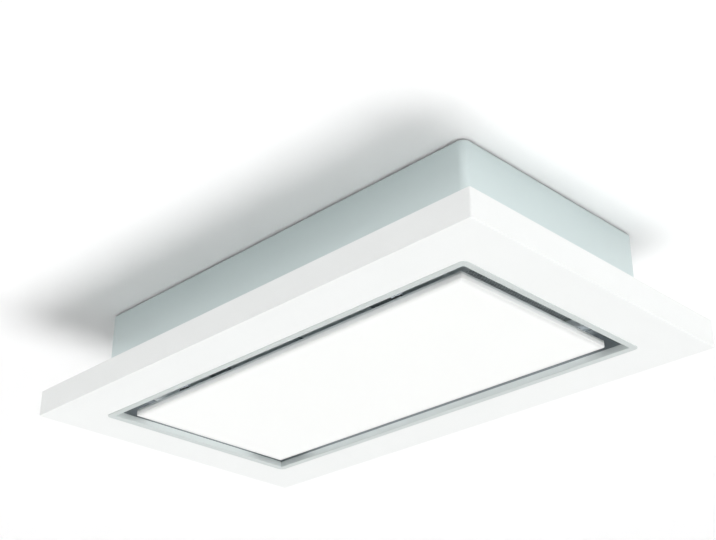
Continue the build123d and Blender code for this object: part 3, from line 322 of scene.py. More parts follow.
def clear_acrylic(name):
    """The light guide: nearly clear, and polished."""
    material, _, shader = surface(name, linear(0.95, 0.97, 0.97), drift=0.02, roughness=(0.05, 0.12))
    shader.inputs["Transmission Weight"].default_value = 0.9
    shader.inputs["IOR"].default_value = 1.49
    return material


def solder_mask(name):
    """A circuit board: green lacquer over fine copper tracks."""
    material, tree, shader = new_material(name)
    point = object_point(tree)
    tracks = tree.nodes.new("ShaderNodeTexBrick")
    tracks.inputs["Scale"].default_value = 60.0
    tracks.inputs["Mortar Size"].default_value = 0.08
    tracks.inputs["Color1"].default_value = (*linear(0.08, 0.30, 0.18), 1)
    tracks.inputs["Color2"].default_value = (*linear(0.07, 0.26, 0.16), 1)
    tracks.inputs["Mortar"].default_value = (*linear(0.20, 0.48, 0.30), 1)
    tree.links.new(point, tracks.inputs["Vector"])
    tree.links.new(tracks.outputs["Color"], shader.inputs["Base Color"])
    shader.inputs["Roughness"].default_value = 0.3
    return material


def make_materials():
    """One finish for each of the record's slots."""
    steel = linear(0.66, 0.68, 0.69)
    return {
        "casing_paint": pearl_lacquer("casing_paint", linear(0.84, 0.885, 0.885)),
        "frame_paint": powder_paint("frame_paint", linear(0.955, 0.962, 0.958)),
        "trim_metal": satin_metal("trim_metal", linear(0.84, 0.865, 0.86)),
        "channel_paint": powder_paint("channel_paint", linear(0.50, 0.53, 0.545), 0.05),
        # the foam seal is near black, and this is partly painted shade: its dark tone stands for the shadow
        # line in the gap between the casing and the ceiling
        "seal_foam": soft_foam("seal_foam", linear(0.13, 0.14, 0.14)),
        "galvanised_steel": galvanised_sheet("galvanised_steel", steel),
        "dark_steel": powder_paint("dark_steel", linear(0.60, 0.63, 0.65), 0.05),
        "fastener_steel": brushed_metal("fastener_steel", linear(0.70, 0.71, 0.72), 2),
        "magnet": moulded_plastic("magnet", linear(0.12, 0.12, 0.13), roughness=(0.5, 0.65)),
        "filter_aluminium": satin_metal("filter_aluminium", linear(0.88, 0.90, 0.905)),
        "filter_wool": soft_foam("filter_wool", linear(0.70, 0.71, 0.72)),
        "latch_plastic": moulded_plastic("latch_plastic", linear(0.58, 0.60, 0.61)),
        "tray_aluminium": satin_metal("tray_aluminium", linear(0.93, 0.94, 0.935)),
        "opal_acrylic": opal_acrylic("opal_acrylic"),
        "clear_acrylic": clear_acrylic("clear_acrylic"),
        "reflector_film": moulded_plastic("reflector_film", linear(0.96, 0.96, 0.96), 1500.0),
        "led_board": moulded_plastic("led_board", linear(0.93, 0.93, 0.89)),
        "black_plastic": moulded_plastic("black_plastic", linear(0.10, 0.10, 0.11)),
        "impeller_plastic": moulded_plastic("impeller_plastic", linear(0.18, 0.19, 0.20)),
        "motor_metal": brushed_metal("motor_metal", linear(0.60, 0.61, 0.62), 2, (0.4, 0.55)),
        "bush_rubber": soft_foam("bush_rubber", linear(0.07, 0.07, 0.07)),
        "collar_plastic": moulded_plastic("collar_plastic", linear(0.22, 0.23, 0.24)),
        "damper_aluminium": brushed_metal("damper_aluminium", linear(0.76, 0.77, 0.78), 0),
        "box_plastic": moulded_plastic("box_plastic", linear(0.82, 0.83, 0.82)),
        "circuit_board": solder_mask("circuit_board"),
        "capacitor_can": moulded_plastic("capacitor_can", linear(0.87, 0.87, 0.85)),
        "driver_case": moulded_plastic("driver_case", linear(0.90, 0.90, 0.89)),
    }


def finish_nodes(finishes):
    """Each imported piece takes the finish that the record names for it."""
    for part in frame["record"]["subparts"]:
        mesh = nodes[part["node"]].data
        mesh.materials.clear()
        mesh.materials.append(finishes[part["material_slot"]])


# ---------------------------------------------------------------- modelling helpers

HAIR = 0.05 * MM              # how near a place counts as on a line
MERGE = 0.2 * HAIR            # how near two corners count as one
ALONG = 0.9                   # cosine over which a direction counts as along an axis
ACROSS = 0.1                  # and under which it counts as across it


def deselect_all():
    """Object mode, with nothing selected."""
    if bpy.context.object and bpy.context.object.mode != "OBJECT":
        bpy.ops.object.mode_set(mode="OBJECT")
    bpy.ops.object.select_all(action="DESELECT")


def take(piece):
    """Only this piece is selected, and it is the one that operators act on."""
    deselect_all()
    piece.select_set(True)
    bpy.context.view_layer.objects.active = piece


def put_in_mesh(piece):
    """Its place goes into its mesh, so that the object sits at the origin, unturned and unscaled."""
    take(piece)
    bpy.ops.object.transform_apply(location=True, rotation=True, scale=True)


def start_box(x, y, z):
    """A box between a low and a high limit along each axis."""
    deselect_all()
    limits = (x, y, z)
    bpy.ops.mesh.primitive_cube_add(size=1, location=[(low + high) / 2 for low, high in limits])
    piece = bpy.context.object
    piece.scale = [high - low for low, high in limits]
    put_in_mesh(piece)
    return piece


def start_sheet(x, y, level):
    """A flat face between limits, at one level."""
    deselect_all()
    bpy.ops.mesh.primitive_plane_add(size=1, location=(sum(x) / 2, sum(y) / 2, level))
    piece = bpy.context.object
    piece.scale = (x[1] - x[0], y[1] - y[0], 1)
    put_in_mesh(piece)
    return piece


def pick(piece, kind, test):
    """Edit mode, with only the faces, edges or corners that pass a test of their place and direction."""
    take(piece)
    bpy.ops.object.mode_set(mode="EDIT")
    bpy.ops.mesh.select_mode(type=kind)
    bpy.ops.mesh.select_all(action="DESELECT")
    bpy.ops.object.mode_set(mode="OBJECT")
    mesh = piece.data
    if kind == "FACE":
        for face_glow_with_painted_rim_shade in mesh.polygons:
            face_glow_with_painted_rim_shade.select = test(face_glow_with_painted_rim_shade.center, face_glow_with_painted_rim_shade.normal)
    elif kind == "EDGE":
        for edge in mesh.edges:
            first, second = (mesh.vertices[number].co for number in edge.vertices)
            edge.select = test((first + second) / 2, (second - first).normalized())
    else:
        for corner in mesh.vertices:
            corner.select = test(corner.co, corner.normal)
    bpy.ops.object.mode_set(mode="EDIT")


def everything(place, direction):
    """A test that all pass."""
    return True


def on_top(place, normal):
    """A test for faces that look up."""
    return normal.z > ALONG


def underneath(place, normal):
    """A test for faces that look down."""
    return normal.z < -ALONG


def between(value, limits):
    """Whether it lies inside a low and a high limit."""
    return limits[0] < value < limits[1]


def on_axis(axis, length=1.0):
    """A vector along one axis."""
    vector = Vector((0, 0, 0))
    vector[axis] = length
    return vector


def cut(piece, axis, positions, test=everything):
    """Divide the picked faces by planes square to one axis."""
    for position in positions:
        pick(piece, "FACE", test)
        bpy.ops.mesh.bisect(plane_co=on_axis(axis, position), plane_no=on_axis(axis))
    deselect_all()


def pull(piece, move, test):
    """Extrude the picked faces."""
    pick(piece, "FACE", test)
    bpy.ops.mesh.extrude_region_move(TRANSFORM_OT_translate={"value": move})
    deselect_all()


def close_up(piece):
    """Merge doubles and turn every face outwards."""
    pick(piece, "VERT", everything)
    bpy.ops.mesh.remove_doubles(threshold=MERGE)
    bpy.ops.mesh.normals_make_consistent(inside=False)
    deselect_all()


def round_edges(piece, radius, test, segments=5):
    """Round the picked edges."""
    pick(piece, "EDGE", test)
    bpy.ops.mesh.bevel(offset=radius, segments=segments, affect="EDGES", clamp_overlap=True)
    deselect_all()


def soften(piece, radius, segments=2, sharper_than=40):
    """Take the sharpness off every hard edge, and shade the piece smooth; the angle is in degrees."""
    take(piece)
    bevel = piece.modifiers.new("soft_edges", "BEVEL")
    bevel.width = radius
    bevel.segments = segments
    bevel.limit_method = "ANGLE"
    bevel.angle_limit = radians(sharper_than)
    bpy.ops.object.modifier_apply(modifier=bevel.name)
    smooth(piece)


def smooth(piece, angle=30):
    """Smooth shading, except over edges that turn more than so many degrees."""
    take(piece)
    bpy.ops.object.shade_smooth_by_angle(angle=radians(angle))


def copies(piece, places):
    """The piece at each place, each copy with its own mesh, joined into one."""
    group = []
    for place in places:
        copy = piece.copy()
        copy.data = piece.data.copy()
        copy.location = place
        bpy.context.scene.collection.objects.link(copy)
        put_in_mesh(copy)
        group.append(copy)
    bpy.data.objects.remove(piece)
    return joined(group)


def joined(group):
    """The pieces as one."""
    deselect_all()
    for piece in group:
        piece.select_set(True)
    bpy.context.view_layer.objects.active = group[0]
    bpy.ops.object.join()
    return bpy.context.object


def finish_piece(piece, name, body, slot, stands_for=()):
    """Name a finished piece, give it its finish, and let it ride on its body."""
    put_in_mesh(piece)
    piece.name = name
    piece.data.name = name
    piece.data.materials.clear()
    piece.data.materials.append(finishes[slot])
    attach(piece, body)
    if stands_for:
        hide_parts(*stands_for)
    return piece


# ---------------------------------------------------------------- trim ring

RING_FACE = 14.5 * MM         # width of its flat face
RING_RETURN = 1.5 * MM        # thickness of its return inside the slot
RING_SHEET = 1.0 * MM         # thickness of its face
RING_CORNER = 12.0 * MM       # radius of its outer corners
RING_LIP = 1.1 * MM           # rounding where the face turns up into the slot


def model_trim_ring():
    """A flat ring under the opening's rim, whose inner edge turns up into the slot."""
    low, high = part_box("trim_ring")
    opening = (high[0] - RING_FACE, high[1] - RING_FACE)

    def on_return(place, normal):
        reach = (opening[0] + RING_RETURN, opening[1] + RING_RETURN)
        return normal.z > ALONG and abs(place.x) < reach[0] and abs(place.y) < reach[1]

    def at_outer_corner(place, run):
        return abs(run.z) > ALONG and abs(place.x) > high[0] - HAIR and abs(place.y) > high[1] - HAIR

    def at_lip(place, run):
        near = abs(abs(place.x) - opening[0]) < HAIR or abs(abs(place.y) - opening[1]) < HAIR
        inside = abs(place.x) < opening[0] + HAIR and abs(place.y) < opening[1] + HAIR
        return near and inside and place.z < low[2] + HAIR and abs(run.z) < ACROSS

    ring = start_sheet((low[0], high[0]), (low[1], high[1]), low[2])
    pick(ring, "FACE", everything)
    bpy.ops.mesh.inset(thickness=RING_FACE - RING_RETURN)
    bpy.ops.mesh.inset(thickness=RING_RETURN)
    bpy.ops.mesh.delete(type="FACE")
    pull(ring, (0, 0, RING_SHEET), everything)
    close_up(ring)
    pull(ring, (0, 0, high[2] - low[2] - RING_SHEET), on_return)
    close_up(ring)
    round_edges(ring, RING_CORNER, at_outer_corner, segments=10)
    round_edges(ring, RING_LIP, at_lip, segments=4)
    close_up(ring)
    smooth(ring)
    finish_piece(ring, "trim_ring_rolled", "hood", "trim_metal", ["trim_ring"])


# ---------------------------------------------------------------- grease filters

CELL_LENGTH = 12.0 * MM       # one diamond of the expanded mesh
CELL_WIDTH = 7.0 * MM
STRAND = 1.3 * MM             # thickness of one strand
GRID_LINE = 0.999             # cosine over which an edge is one of the grid's, not a diagonal


def model_filter_mesh(word):
    """Expanded aluminium: diamonds drawn along X, inside the frame's ledge."""
    low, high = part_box(f"filter_mesh_{word}")
    columns = round((high[0] - low[0]) / CELL_LENGTH)
    rows = round((high[1] - low[1]) / CELL_WIDTH)
    level = (low[2] + high[2]) / 2
    inner = [(low[axis] + STRAND / 2, high[axis] - STRAND / 2) for axis in range(2)]
    deselect_all()
    bpy.ops.mesh.primitive_grid_add(x_subdivisions=columns, y_subdivisions=rows, size=1)
    sheet = bpy.context.object
    sheet.scale = (inner[0][1] - inner[0][0], inner[1][1] - inner[1][0], 1)
    sheet.location = (sum(inner[0]) / 2, sum(inner[1]) / 2, level)
    put_in_mesh(sheet)

    def inside_grid_line(place, run):
        square = max(abs(run.x), abs(run.y)) > GRID_LINE
        margins = [min(place[axis] - inner[axis][0], inner[axis][1] - place[axis]) for axis in range(2)]
        return square and min(margins) > HAIR

    pick(sheet, "FACE", everything)
    bpy.ops.mesh.poke()
    pick(sheet, "EDGE", inside_grid_line)
    bpy.ops.mesh.dissolve_edges(use_verts=False)
    take(sheet)
    strands = sheet.modifiers.new("strands", "WIREFRAME")
    strands.thickness = STRAND
    strands.use_boundary = True
    strands.use_replace = True
    bpy.ops.object.modifier_apply(modifier=strands.name)
    finish_piece(
        sheet, f"filter_mesh_expanded_{word}", "hood", "filter_aluminium", [f"filter_mesh_{word}"]
    )


FILTER_SIDE_RAIL = 24.0 * MM
FILTER_END_RAIL = 36.0 * MM
FILTER_LEDGE = 4.0 * MM       # width and height of the step that the mesh lies on
FILTER_DEPTH = 9.0 * MM
FILTER_CORNER = 4.0 * MM
FILTER_EDGE = 0.9 * MM        # rounding of its folded edges
LATCH_SLOT_HALF = 12.5 * MM   # half its length along X
LATCH_SLOT_WIDTH = 12.0 * MM
LATCH_SLOT_SETBACK = 7.0 * MM          # tongue's end to the slot
HOOK_X = 120.0 * MM           # each side of the filter's middle
HOOK_HALF = 12.0 * MM
HOOK_STEM = (164.5 * MM, 167.5 * MM)   # limits across its sheet
HOOK_REACH = 7.5 * MM
HOOK_EDGE = 0.5 * MM
TONGUE = 2.0 * MM             # thickness of a hook's and a latch's tongue
MITRE_GROOVE = 0.7 * MM       # width and depth
DOWNWARD = 0.5                # cosine over which a rounded corner's face counts as its underside
ON_LINE = 0.02                # cosine under which an edge runs with the mitre


def model_filter_frame(word):
    """A channel-section frame with mitred corners, a slot for its latch, and two hooks at its back."""
    low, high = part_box(f"filter_frame_{word}")
    middle = (low[0] + high[0]) / 2
    side = (low[0], low[0] + FILTER_SIDE_RAIL, high[0] - FILTER_SIDE_RAIL, high[0])
    end = (low[1], low[1] + FILTER_END_RAIL, high[1] - FILTER_END_RAIL, high[1])
    slot_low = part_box(f"filter_latch_{word}")[0][1] + LATCH_SLOT_SETBACK
    slot_x = (middle - LATCH_SLOT_HALF, middle + LATCH_SLOT_HALF)
    slot_y = (slot_low, slot_low + LATCH_SLOT_WIDTH)

    def open_cell(place, normal):
        window = between(place.x, side[1:3]) and between(place.y, end[1:3])
        return window or (between(place.x, slot_x) and between(place.y, slot_y))

    def beyond_ledge(place, normal):
        step_x = (side[1] - FILTER_LEDGE, side[2] + FILTER_LEDGE)
        step_y = (end[1] - FILTER_LEDGE, end[2] + FILTER_LEDGE)
        return normal.z > ALONG and not (between(place.x, step_x) and between(place.y, step_y))

    def at_outer_corner(place, run):
        return (
            abs(run.z) > ALONG
            and min(place.x - low[0], high[0] - place.x) < HAIR
            and min(place.y - low[1], high[1] - place.y) < HAIR
        )

    frame_piece = start_sheet((low[0], high[0]), (low[1], high[1]), low[2])
    cut(frame_piece, 0, (side[1] - FILTER_LEDGE, side[1], *slot_x, side[2], side[2] + FILTER_LEDGE))
    cut(frame_piece, 1, (end[1] - FILTER_LEDGE, end[1], *slot_y, end[2], end[2] + FILTER_LEDGE))
    pick(frame_piece, "FACE", open_cell)
    bpy.ops.mesh.delete(type="FACE")
    pull(frame_piece, (0, 0, FILTER_LEDGE), everything)
    close_up(frame_piece)
    pull(frame_piece, (0, 0, FILTER_DEPTH - FILTER_LEDGE), beyond_ledge)
    close_up(frame_piece)
    round_edges(frame_piece, FILTER_CORNER, at_outer_corner)
    soften(frame_piece, FILTER_EDGE, segments=3)
    groove_corners(frame_piece, side, end, low[2])
    hooks = [model_hook(middle + turn * HOOK_X, high) for turn in (-1, 1)]
    finish_piece(
        joined([frame_piece, *hooks]),
        f"filter_frame_mitred_{word}",
        "hood",
        "filter_aluminium",
        [f"filter_frame_{word}"],
    )


def groove_corners(frame_piece, side, end, level):
    """A fine groove from each inner corner of the frame's underside to its outer corner."""
    for outer_x, inner_x in ((side[0], side[1]), (side[3], side[2])):
        for outer_y, inner_y in ((end[0], end[1]), (end[3], end[2])):
            along = Vector((outer_x - inner_x, outer_y - inner_y, 0)).normalized()
            across = Vector((along.y, -along.x, 0))
            corner = Vector((inner_x, inner_y, level))

            def on_corner(place, normal):
                in_x = min(inner_x, outer_x) < place.x < max(inner_x, outer_x)
                in_y = min(inner_y, outer_y) < place.y < max(inner_y, outer_y)
                return normal.z < -DOWNWARD and in_x and in_y

            def on_mitre(place, run):
                near = abs((place - corner).dot(across)) < HAIR and abs(run.dot(across)) < ON_LINE
                outward = -HAIR < (place - corner).dot(along)
                return near and outward and place.z < level + HAIR

            pick(frame_piece, "FACE", on_corner)
            bpy.ops.mesh.bisect(plane_co=corner, plane_no=across)
            pick(frame_piece, "EDGE", on_mitre)
            bpy.ops.mesh.bevel(offset=MITRE_GROOVE / 2, segments=2, affect="EDGES")
            pick(frame_piece, "EDGE", on_mitre)
            bpy.ops.transform.translate(value=(0, 0, MITRE_GROOVE))
            deselect_all()


def model_hook(x, frame_high):
    """A tab that stands up through the window, and is bent over its back rim."""
    stem_high = frame_high[2]
    tongue_low = stem_high - TONGUE
    hook = start_box((x - HOOK_HALF, x + HOOK_HALF), HOOK_STEM, (stem_high - 2 * TONGUE, stem_high))
    cut(hook, 2, (tongue_low,))

    def tongue_root(place, normal):
        return normal.y > ALONG and place.z > tongue_low

    pull(hook, (0, HOOK_REACH, 0), tongue_root)
    close_up(hook)
    soften(hook, HOOK_EDGE)
    return hook


GRIP_SHEET = 3.0 * MM
GRIP_WIDTH = 22.0 * MM
GRIP_SETBACK = 0.5 * MM       # tongue's end to the grip
GRIP_CORNER = 3.0 * MM
LATCH_EDGE = 0.3 * MM
STEM_SETBACK = 7.5 * MM       # tongue's end to the stem
STEM_SHEET = 3.0 * MM
STEM_HALF = 12.0 * MM
RIB_PITCH = 2.4 * MM
RIB_COUNT = 5
RIB_DEPTH = 0.8 * MM


def model_latch(word):
    """A ribbed finger grip, with a stem up through the filter's slot and a tongue over the rim."""
    low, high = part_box(f"filter_latch_{word}")
    middle = (low[0] + high[0]) / 2
    grip_low = low[1] + GRIP_SETBACK
    grip_high = low[2] + GRIP_SHEET
    tongue_low = high[2] - TONGUE
    stem_x = (middle - STEM_HALF, middle + STEM_HALF)
    stem_y = (low[1] + STEM_SETBACK, low[1] + STEM_SETBACK + STEM_SHEET)
    rib_x = (low[0] + 2 * GRIP_CORNER, high[0] - 2 * GRIP_CORNER)
    rib_low = stem_y[1] - RIB_PITCH
    rib_lines = [rib_low + number * RIB_PITCH / 2 for number in range(2 * RIB_COUNT)]

    def on_stem(place, normal):
        return normal.z > ALONG and between(place.x, stem_x) and between(place.y, stem_y)

    def tongue_root(place, normal):
        return normal.y < -ALONG and place.z > tongue_low

    def in_groove(place, normal):
        if not (underneath(place, normal) and between(place.x, rib_x)):
            return False
        step = (place.y - rib_low) / (RIB_PITCH / 2)
        return 0 < step < 2 * RIB_COUNT - 1 and int(step) % 2 == 0

    def at_grip_corner(place, run):
        at_end = min(place.x - low[0], high[0] - place.x) < HAIR
        return at_end and abs(run.z) > ALONG

    grip = start_box((low[0], high[0]), (grip_low, grip_low + GRIP_WIDTH), (low[2], grip_high))
    round_edges(grip, GRIP_CORNER, at_grip_corner)
    cut(grip, 0, stem_x)
    cut(grip, 1, stem_y)
    pull(grip, (0, 0, tongue_low - grip_high), on_stem)
    pull(grip, (0, 0, TONGUE), on_stem)
    pull(grip, (0, -STEM_SETBACK, 0), tongue_root)
    cut(grip, 0, rib_x, underneath)
    cut(grip, 1, rib_lines, underneath)
    pull(grip, (0, 0, RIB_DEPTH), in_groove)
    close_up(grip)
    soften(grip, LATCH_EDGE)
    finish_piece(
        grip,
        f"filter_latch_ribbed_{word}",
        f"{word}_latch",
        "latch_plastic",
        [f"filter_latch_{word}"],
    )


# ---------------------------------------------------------------- clamp screws

SCREW_HEAD_RADIUS = 4.0 * MM
SCREW_HEAD_HEIGHT = 2.5 * MM
SCREW_RADIUS = 2.0 * MM
SCREW_DOME = 1.2 * MM         # rounding of the head's rim
RECESS_HALF = 0.45 * MM       # half the width of the cross recess
RECESS_REACH = 2.1 * MM
RECESS_DEPTH = 1.3 * MM
SCREW_PITCH_X = 200.0 * MM    # five along each long side
SCREW_PITCH_Y = 120.0 * MM    # three along each short side


def model_clamp_screws():
    """Pan-head screws with a cross recess, up through the clamped flanges."""
    low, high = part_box("clamp_screws")
    head_high = low[2] + SCREW_HEAD_HEIGHT
    recess_lines = (-RECESS_REACH, -RECESS_HALF, RECESS_HALF, RECESS_REACH)

    def at_lower_rim(place, run):
        return place.z < low[2] + HAIR and abs(run.z) < ACROSS

    def in_cross(place, normal):
        near, far = sorted((abs(place.x), abs(place.y)))
        return underneath(place, normal) and near < RECESS_HALF and far < RECESS_REACH

    deselect_all()
    bpy.ops.mesh.primitive_cylinder_add(
        vertices=28,
        radius=SCREW_HEAD_RADIUS,
        depth=SCREW_HEAD_HEIGHT,
        location=(0, 0, (low[2] + head_high) / 2),
    )
    screw = bpy.context.object
    put_in_mesh(screw)
    round_edges(screw, SCREW_DOME, at_lower_rim, segments=4)
    cut(screw, 0, recess_lines, underneath)
    cut(screw, 1, recess_lines, underneath)
    pull(screw, (0, 0, RECESS_DEPTH), in_cross)
    pick(screw, "FACE", on_top)
    bpy.ops.mesh.inset(thickness=SCREW_HEAD_RADIUS - SCREW_RADIUS)
    bpy.ops.mesh.extrude_region_move(TRANSFORM_OT_translate={"value": (0, 0, high[2] - head_high)})
    close_up(screw)
    smooth(screw, angle=35)
    row_x = high[0] - SCREW_HEAD_RADIUS
    row_y = high[1] - SCREW_HEAD_RADIUS
    places = [(number * SCREW_PITCH_X, turn * row_y, 0) for number in range(-2, 3) for turn in (-1, 1)]
    places += [(turn * row_x, number * SCREW_PITCH_Y, 0) for number in range(-1, 2) for turn in (-1, 1)]
    finish_piece(
        copies(screw, places), "clamp_screws_crosshead", "hood", "fastener_steel", ["clamp_screws"]
    )


# ---------------------------------------------------------------- pressed stiffeners

SWAGE_WIDTH = 16.0 * MM
SWAGE_SLOPE = 3.0 * MM
SWAGE_ROOT = 0.3 * MM         # how deep a rib is sunk in its sheet
SWAGE_END = 0.98              # of its half width, as the radius of its ends


def model_swage(x, y, level, height):
    """A long raised rib pressed in a sheet, with sloping sides and round ends."""
    half = SWAGE_WIDTH / 2
    rib = start_sheet(x, (y - half, y + half), level - SWAGE_ROOT)
    pick(rib, "VERT", everything)
    bpy.ops.mesh.bevel(offset=half * SWAGE_END, segments=6, affect="VERTICES")
    pull(rib, (0, 0, SWAGE_ROOT), everything)
    close_up(rib)
    pick(rib, "FACE", on_top)
    bpy.ops.mesh.inset(thickness=SWAGE_SLOPE)
    bpy.ops.transform.translate(value=(0, 0, height))
    deselect_all()
    smooth(rib, angle=50)
    return rib


TOP_SWAGE_HEIGHT = 2.2 * MM
TOP_SWAGES = [                # x limits and y of each rib on the top plate, clear of its collar
    (-0.385, 0.385, -0.205),
    (-0.385, 0.205, -0.122),
    (-0.385, 0.385, -0.040),
    (-0.385, 0.010, 0.075),
    (-0.385, 0.385, 0.216),
]
TRAY_SWAGE_HEIGHT = 1.4 * MM
TRAY_SWAGES = [(-0.41, 0.41, y) for y in (-0.105, 0.0, 0.105)]


def model_stiffeners():
    """Pressed ribs on the top plate and on the back of the panel's tray."""
    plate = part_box("ceiling_seal")[0][2]       # the seal stands on the top plate
    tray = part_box("panel_tray")[1][2]
    for name, body, slot, level, height, rows in (
        ("top_plate_swages", "hood", "galvanised_steel", plate, TOP_SWAGE_HEIGHT, TOP_SWAGES),
        ("panel_tray_swages", "centre_panel", "tray_aluminium", tray, TRAY_SWAGE_HEIGHT, TRAY_SWAGES),
    ):
        ribs = [model_swage((start, stop), y, level, height) for start, stop, y in rows]
        finish_piece(joined(ribs), name, body, slot)


# ---------------------------------------------------------------- duct collar's seal

GASKET_BAND = (28.0 * MM, 42.0 * MM)   # levels above the ceiling
GASKET_SHEET = 1.0 * MM
GASKET_LIPS = (31.0 * MM, 36.0 * MM)
LIP_SHEET = 1.0 * MM
LIP_REACH = 1.6 * MM
LIP_DROOP = 0.6               # of its reach
GASKET_SINK = 0.1 * MM        # how far it bites into the collar
COLLAR_RADIUS = 75.0 * MM
TURN_STEPS = 72


def model_collar_gasket():
    """A rubber band round the duct collar, with two lips that the duct slides over."""
    low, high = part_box("duct_collar")
    axis_x, axis_y = ((low[axis] + high[axis]) / 2 for axis in range(2))
    inner = COLLAR_RADIUS - GASKET_SINK
    outer = inner + GASKET_SHEET
    deselect_all()
    bpy.ops.mesh.primitive_plane_add(
        size=1,
        location=(axis_x + (inner + outer) / 2, axis_y, sum(GASKET_BAND) / 2),
        rotation=(pi / 2, 0, 0),
    )
    band = bpy.context.object
    band.scale = (outer - inner, GASKET_BAND[1] - GASKET_BAND[0], 1)
    put_in_mesh(band)
    cut(band, 2, [level + rise for level in GASKET_LIPS for rise in (0, LIP_SHEET)])

    def at_lip(place, run):
        outside = place.x > axis_x + outer - HAIR
        return outside and any(between(place.z, (level, level + LIP_SHEET)) for level in GASKET_LIPS)

    pick(band, "EDGE", at_lip)
    bpy.ops.mesh.extrude_region_move(
        TRANSFORM_OT_translate={"value": (LIP_REACH, 0, -LIP_DROOP * LIP_REACH)}
    )
    pick(band, "FACE", everything)
    bpy.ops.mesh.dissolve_faces()
    bpy.ops.mesh.delete(type="ONLY_FACE")
    bpy.ops.mesh.select_all(action="SELECT")
    bpy.ops.mesh.spin(steps=TURN_STEPS, angle=2 * pi, center=(axis_x, axis_y, 0), axis=(0, 0, 1))
    close_up(band)
    smooth(band, angle=40)
    finish_piece(band, "collar_gasket", "hood", "bush_rubber")


# ---------------------------------------------------------------- stage and light

CEILING_REACH = 3.4               # half its side
CEILING_WHITE = 0.97
CEILING_LIFT = 0.04               # added to what the camera sees of it
CUT_OUT = 0.97                    # of the foam seal's size
FLOOR_LEVEL = -2.5
FLOOR_REACH = 6.0
FLOOR_WHITE = 0.85
FLOOR_LIFT = 0.45
WORLD_LIGHT = 0.11
KEY_LIGHT = 0.688                 # from the floor
KEY_FROM = (0.32, 0.27, -1.0)
KEY_SPREAD = 45                   # degrees
SIDE_LIGHT = 0.34                 # low, from the right end
SIDE_FROM = (0.96, 0.12, -0.28)
SIDE_SPREAD = 36
FILL_LIGHT = 0.35                 # low, from the near long side
FILL_FROM = (-0.15, -0.94, -0.16)
FILL_SPREAD = 45
TOP_LIGHT = 0.42                  # a spot on the hood's top, which the ceiling keeps from the room
TOP_FROM = (-1.44, -0.86, 1.92)
TOP_CONE = 36                     # degrees
TOP_BLEND = 0.5                   # how soft its cone's edge is
TOP_SIZE = 0.30
GLOW_LIGHT = 18.0                 # of the thin lamps on the panel's back
GLOW_LEAN = 0.7                   # sideways for each unit up
GLOW_WIDTH = 4.0 * MM
GLOW_STOP = 50.0 * MM             # short of the panel's corner
GLOW_RISE = 3.0 * MM              # above the panel's back
GLOW_SETBACK = 1.0 * MM


def one_sided_white(name, tone, lift):
    """A matt white that shows from its front only, and is a little brighter to the camera."""
    material = bpy.data.materials.new(name)
    material.use_nodes = True
    tree = material.node_tree
    tree.nodes.clear()
    output = tree.nodes.new("ShaderNodeOutputMaterial")
    matt = tree.nodes.new("ShaderNodeBsdfDiffuse")
    matt.inputs["Color"].default_value = (tone, tone, tone, 1)
    seen = tree.nodes.new("ShaderNodeLightPath")
    light = tree.nodes.new("ShaderNodeEmission")
    lift_by = arithmetic(tree, "MULTIPLY", seen.outputs["Is Camera Ray"], lift)
    tree.links.new(lift_by, light.inputs["Strength"])
    both = tree.nodes.new("ShaderNodeAddShader")
    tree.links.new(matt.outputs["BSDF"], both.inputs[0])
    tree.links.new(light.outputs["Emission"], both.inputs[1])
    side = tree.nodes.new("ShaderNodeNewGeometry")
    clear = tree.nodes.new("ShaderNodeBsdfTransparent")
    choose = tree.nodes.new("ShaderNodeMixShader")
    tree.links.new(side.outputs["Backfacing"], choose.inputs["Fac"])
    tree.links.new(both.outputs["Shader"], choose.inputs[1])
    tree.links.new(clear.outputs["BSDF"], choose.inputs[2])
    tree.links.new(choose.outputs["Shader"], output.inputs["Surface"])
    return material


def make_ceiling():
    """A white ceiling with a cut-out inside the hood's foam seal, so the hood's top has light."""
    low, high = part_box("ceiling_seal")
    deselect_all()
    bpy.ops.mesh.primitive_plane_add(size=2 * CEILING_REACH, location=(0, 0, 0))
    ceiling = bpy.context.object
    ceiling.name = "ceiling"
    bpy.ops.object.mode_set(mode="EDIT")
    for axis in range(2):
        for position in (low[axis], high[axis]):
            bpy.ops.mesh.select_all(action="SELECT")
            bpy.ops.mesh.bisect(plane_co=on_axis(axis, position * CUT_OUT), plane_no=on_axis(axis))
    bpy.ops.mesh.select_all(action="DESELECT")
    bpy.ops.object.mode_set(mode="OBJECT")
    for face_glow_with_painted_rim_shade in ceiling.data.polygons:
        face_glow_with_painted_rim_shade.select = face_glow_with_painted_rim_shade.center.length < MM
    bpy.ops.object.mode_set(mode="EDIT")
    bpy.ops.mesh.delete(type="FACE")
    bpy.ops.mesh.select_all(action="SELECT")
    bpy.ops.mesh.flip_normals()
    bpy.ops.object.mode_set(mode="OBJECT")
    ceiling.data.materials.append(one_sided_white("ceiling_white", CEILING_WHITE, CEILING_LIFT))


def make_floor():
    """A pale floor, whose bounce lights the hood's underside."""
    deselect_all()
    bpy.ops.mesh.primitive_plane_add(size=2 * FLOOR_REACH, location=(0, 0, FLOOR_LEVEL))
    floor = bpy.context.object
    floor.name = "floor"
    floor.visible_shadow = False           # the suns shine up through it
    floor.data.materials.append(one_sided_white("floor_white", FLOOR_WHITE, FLOOR_LIFT))


def make_world():
    """Even light from all round; the camera and reflections see plain white."""
    world = bpy.data.worlds.new("studio")
    bpy.context.scene.world = world
    world.use_nodes = True
    tree = world.node_tree
    background = tree.nodes["Background"]
    seen = tree.nodes.new("ShaderNodeLightPath")
    shown = arithmetic(tree, "MAXIMUM", seen.outputs["Is Camera Ray"], seen.outputs["Is Glossy Ray"])
    level = map_range(tree, shown, (0.0, 1.0), (WORLD_LIGHT, 1.0))
    tree.links.new(level, background.inputs["Strength"])
    background.inputs["Color"].default_value = (1, 1, 1, 1)


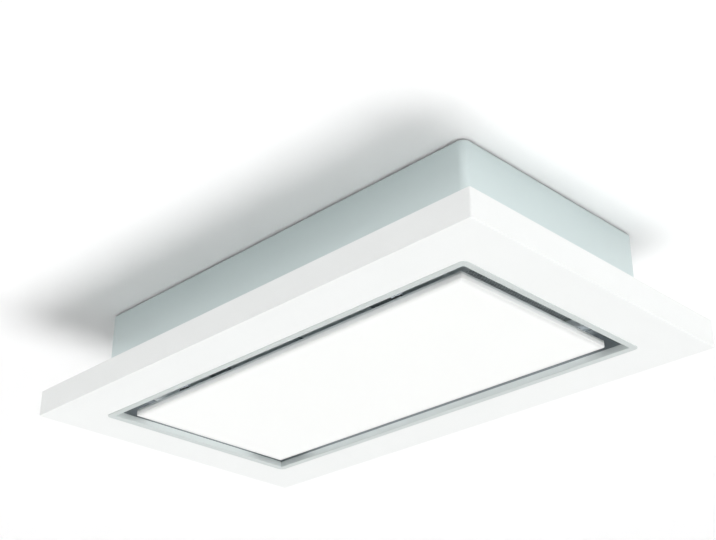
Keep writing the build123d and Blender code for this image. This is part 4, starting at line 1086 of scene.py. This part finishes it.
def soft_sun(name, towards, spread, strength):
    """Even light from one direction, with soft shadows; strength 1 lights a white face to white."""
    lamp = bpy.data.lights.new(name, "SUN")
    lamp.energy = strength * pi
    lamp.angle = radians(spread)
    place_object(name, lamp, Vector(towards).to_track_quat("Z", "Y").to_matrix())


def top_spot():
    """Light on the hood's top for the views from above."""
    lamp = bpy.data.lights.new("top", "SPOT")
    place = Vector(TOP_FROM)
    lamp.energy = TOP_LIGHT * 4 * pi ** 2 * place.length_squared
    lamp.spot_size = radians(TOP_CONE)
    lamp.spot_blend = TOP_BLEND
    lamp.shadow_soft_size = TOP_SIZE
    place_object("top", lamp, place.to_track_quat("Z", "Y").to_matrix(), place)


def slot_glow():
    """What the lit panel spills into the slot: a thin lamp along each side, short of the corners."""
    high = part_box("panel_tray")[1]
    level = high[2] + GLOW_RISE
    for axis, across in ((0, 1), (1, 0)):
        length = 2 * (high[axis] - GLOW_STOP)
        for side in (-1, 1):
            lamp = bpy.data.lights.new("slot_glow", "AREA")
            lamp.shape = "RECTANGLE"
            lamp.size = length
            lamp.size_y = GLOW_WIDTH
            lamp.energy = GLOW_LIGHT * pi * length * GLOW_WIDTH
            out, along = on_axis(across, side), on_axis(axis)
            aim = (GLOW_LEAN * out + Vector((0, 0, 1))).normalized()
            place = out * (high[across] - GLOW_SETBACK) + Vector((0, 0, level))
            turn = Matrix((along, (-aim).cross(along), -aim)).transposed()
            holder = place_object("slot_glow", lamp, turn, place)
            holder.visible_camera = False
            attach(holder, "centre_panel")


def make_stage():
    """The ceiling, the floor and all light."""
    make_ceiling()
    make_floor()
    make_world()
    soft_sun("key", KEY_FROM, KEY_SPREAD, KEY_LIGHT)
    soft_sun("side", SIDE_FROM, SIDE_SPREAD, SIDE_LIGHT)
    soft_sun("fill", FILL_FROM, FILL_SPREAD, FILL_LIGHT)
    top_spot()
    slot_glow()
    bpy.context.scene.view_settings.view_transform = "Standard"


# ---------------------------------------------------------------- the scene

make_camera()
finishes = make_materials()
finish_nodes(finishes)
model_trim_ring()
for word in ("left", "right"):
    model_filter_mesh(word)
    model_filter_frame(word)
    model_latch(word)
model_clamp_screws()
model_stiffeners()
model_collar_gasket()
make_stage()
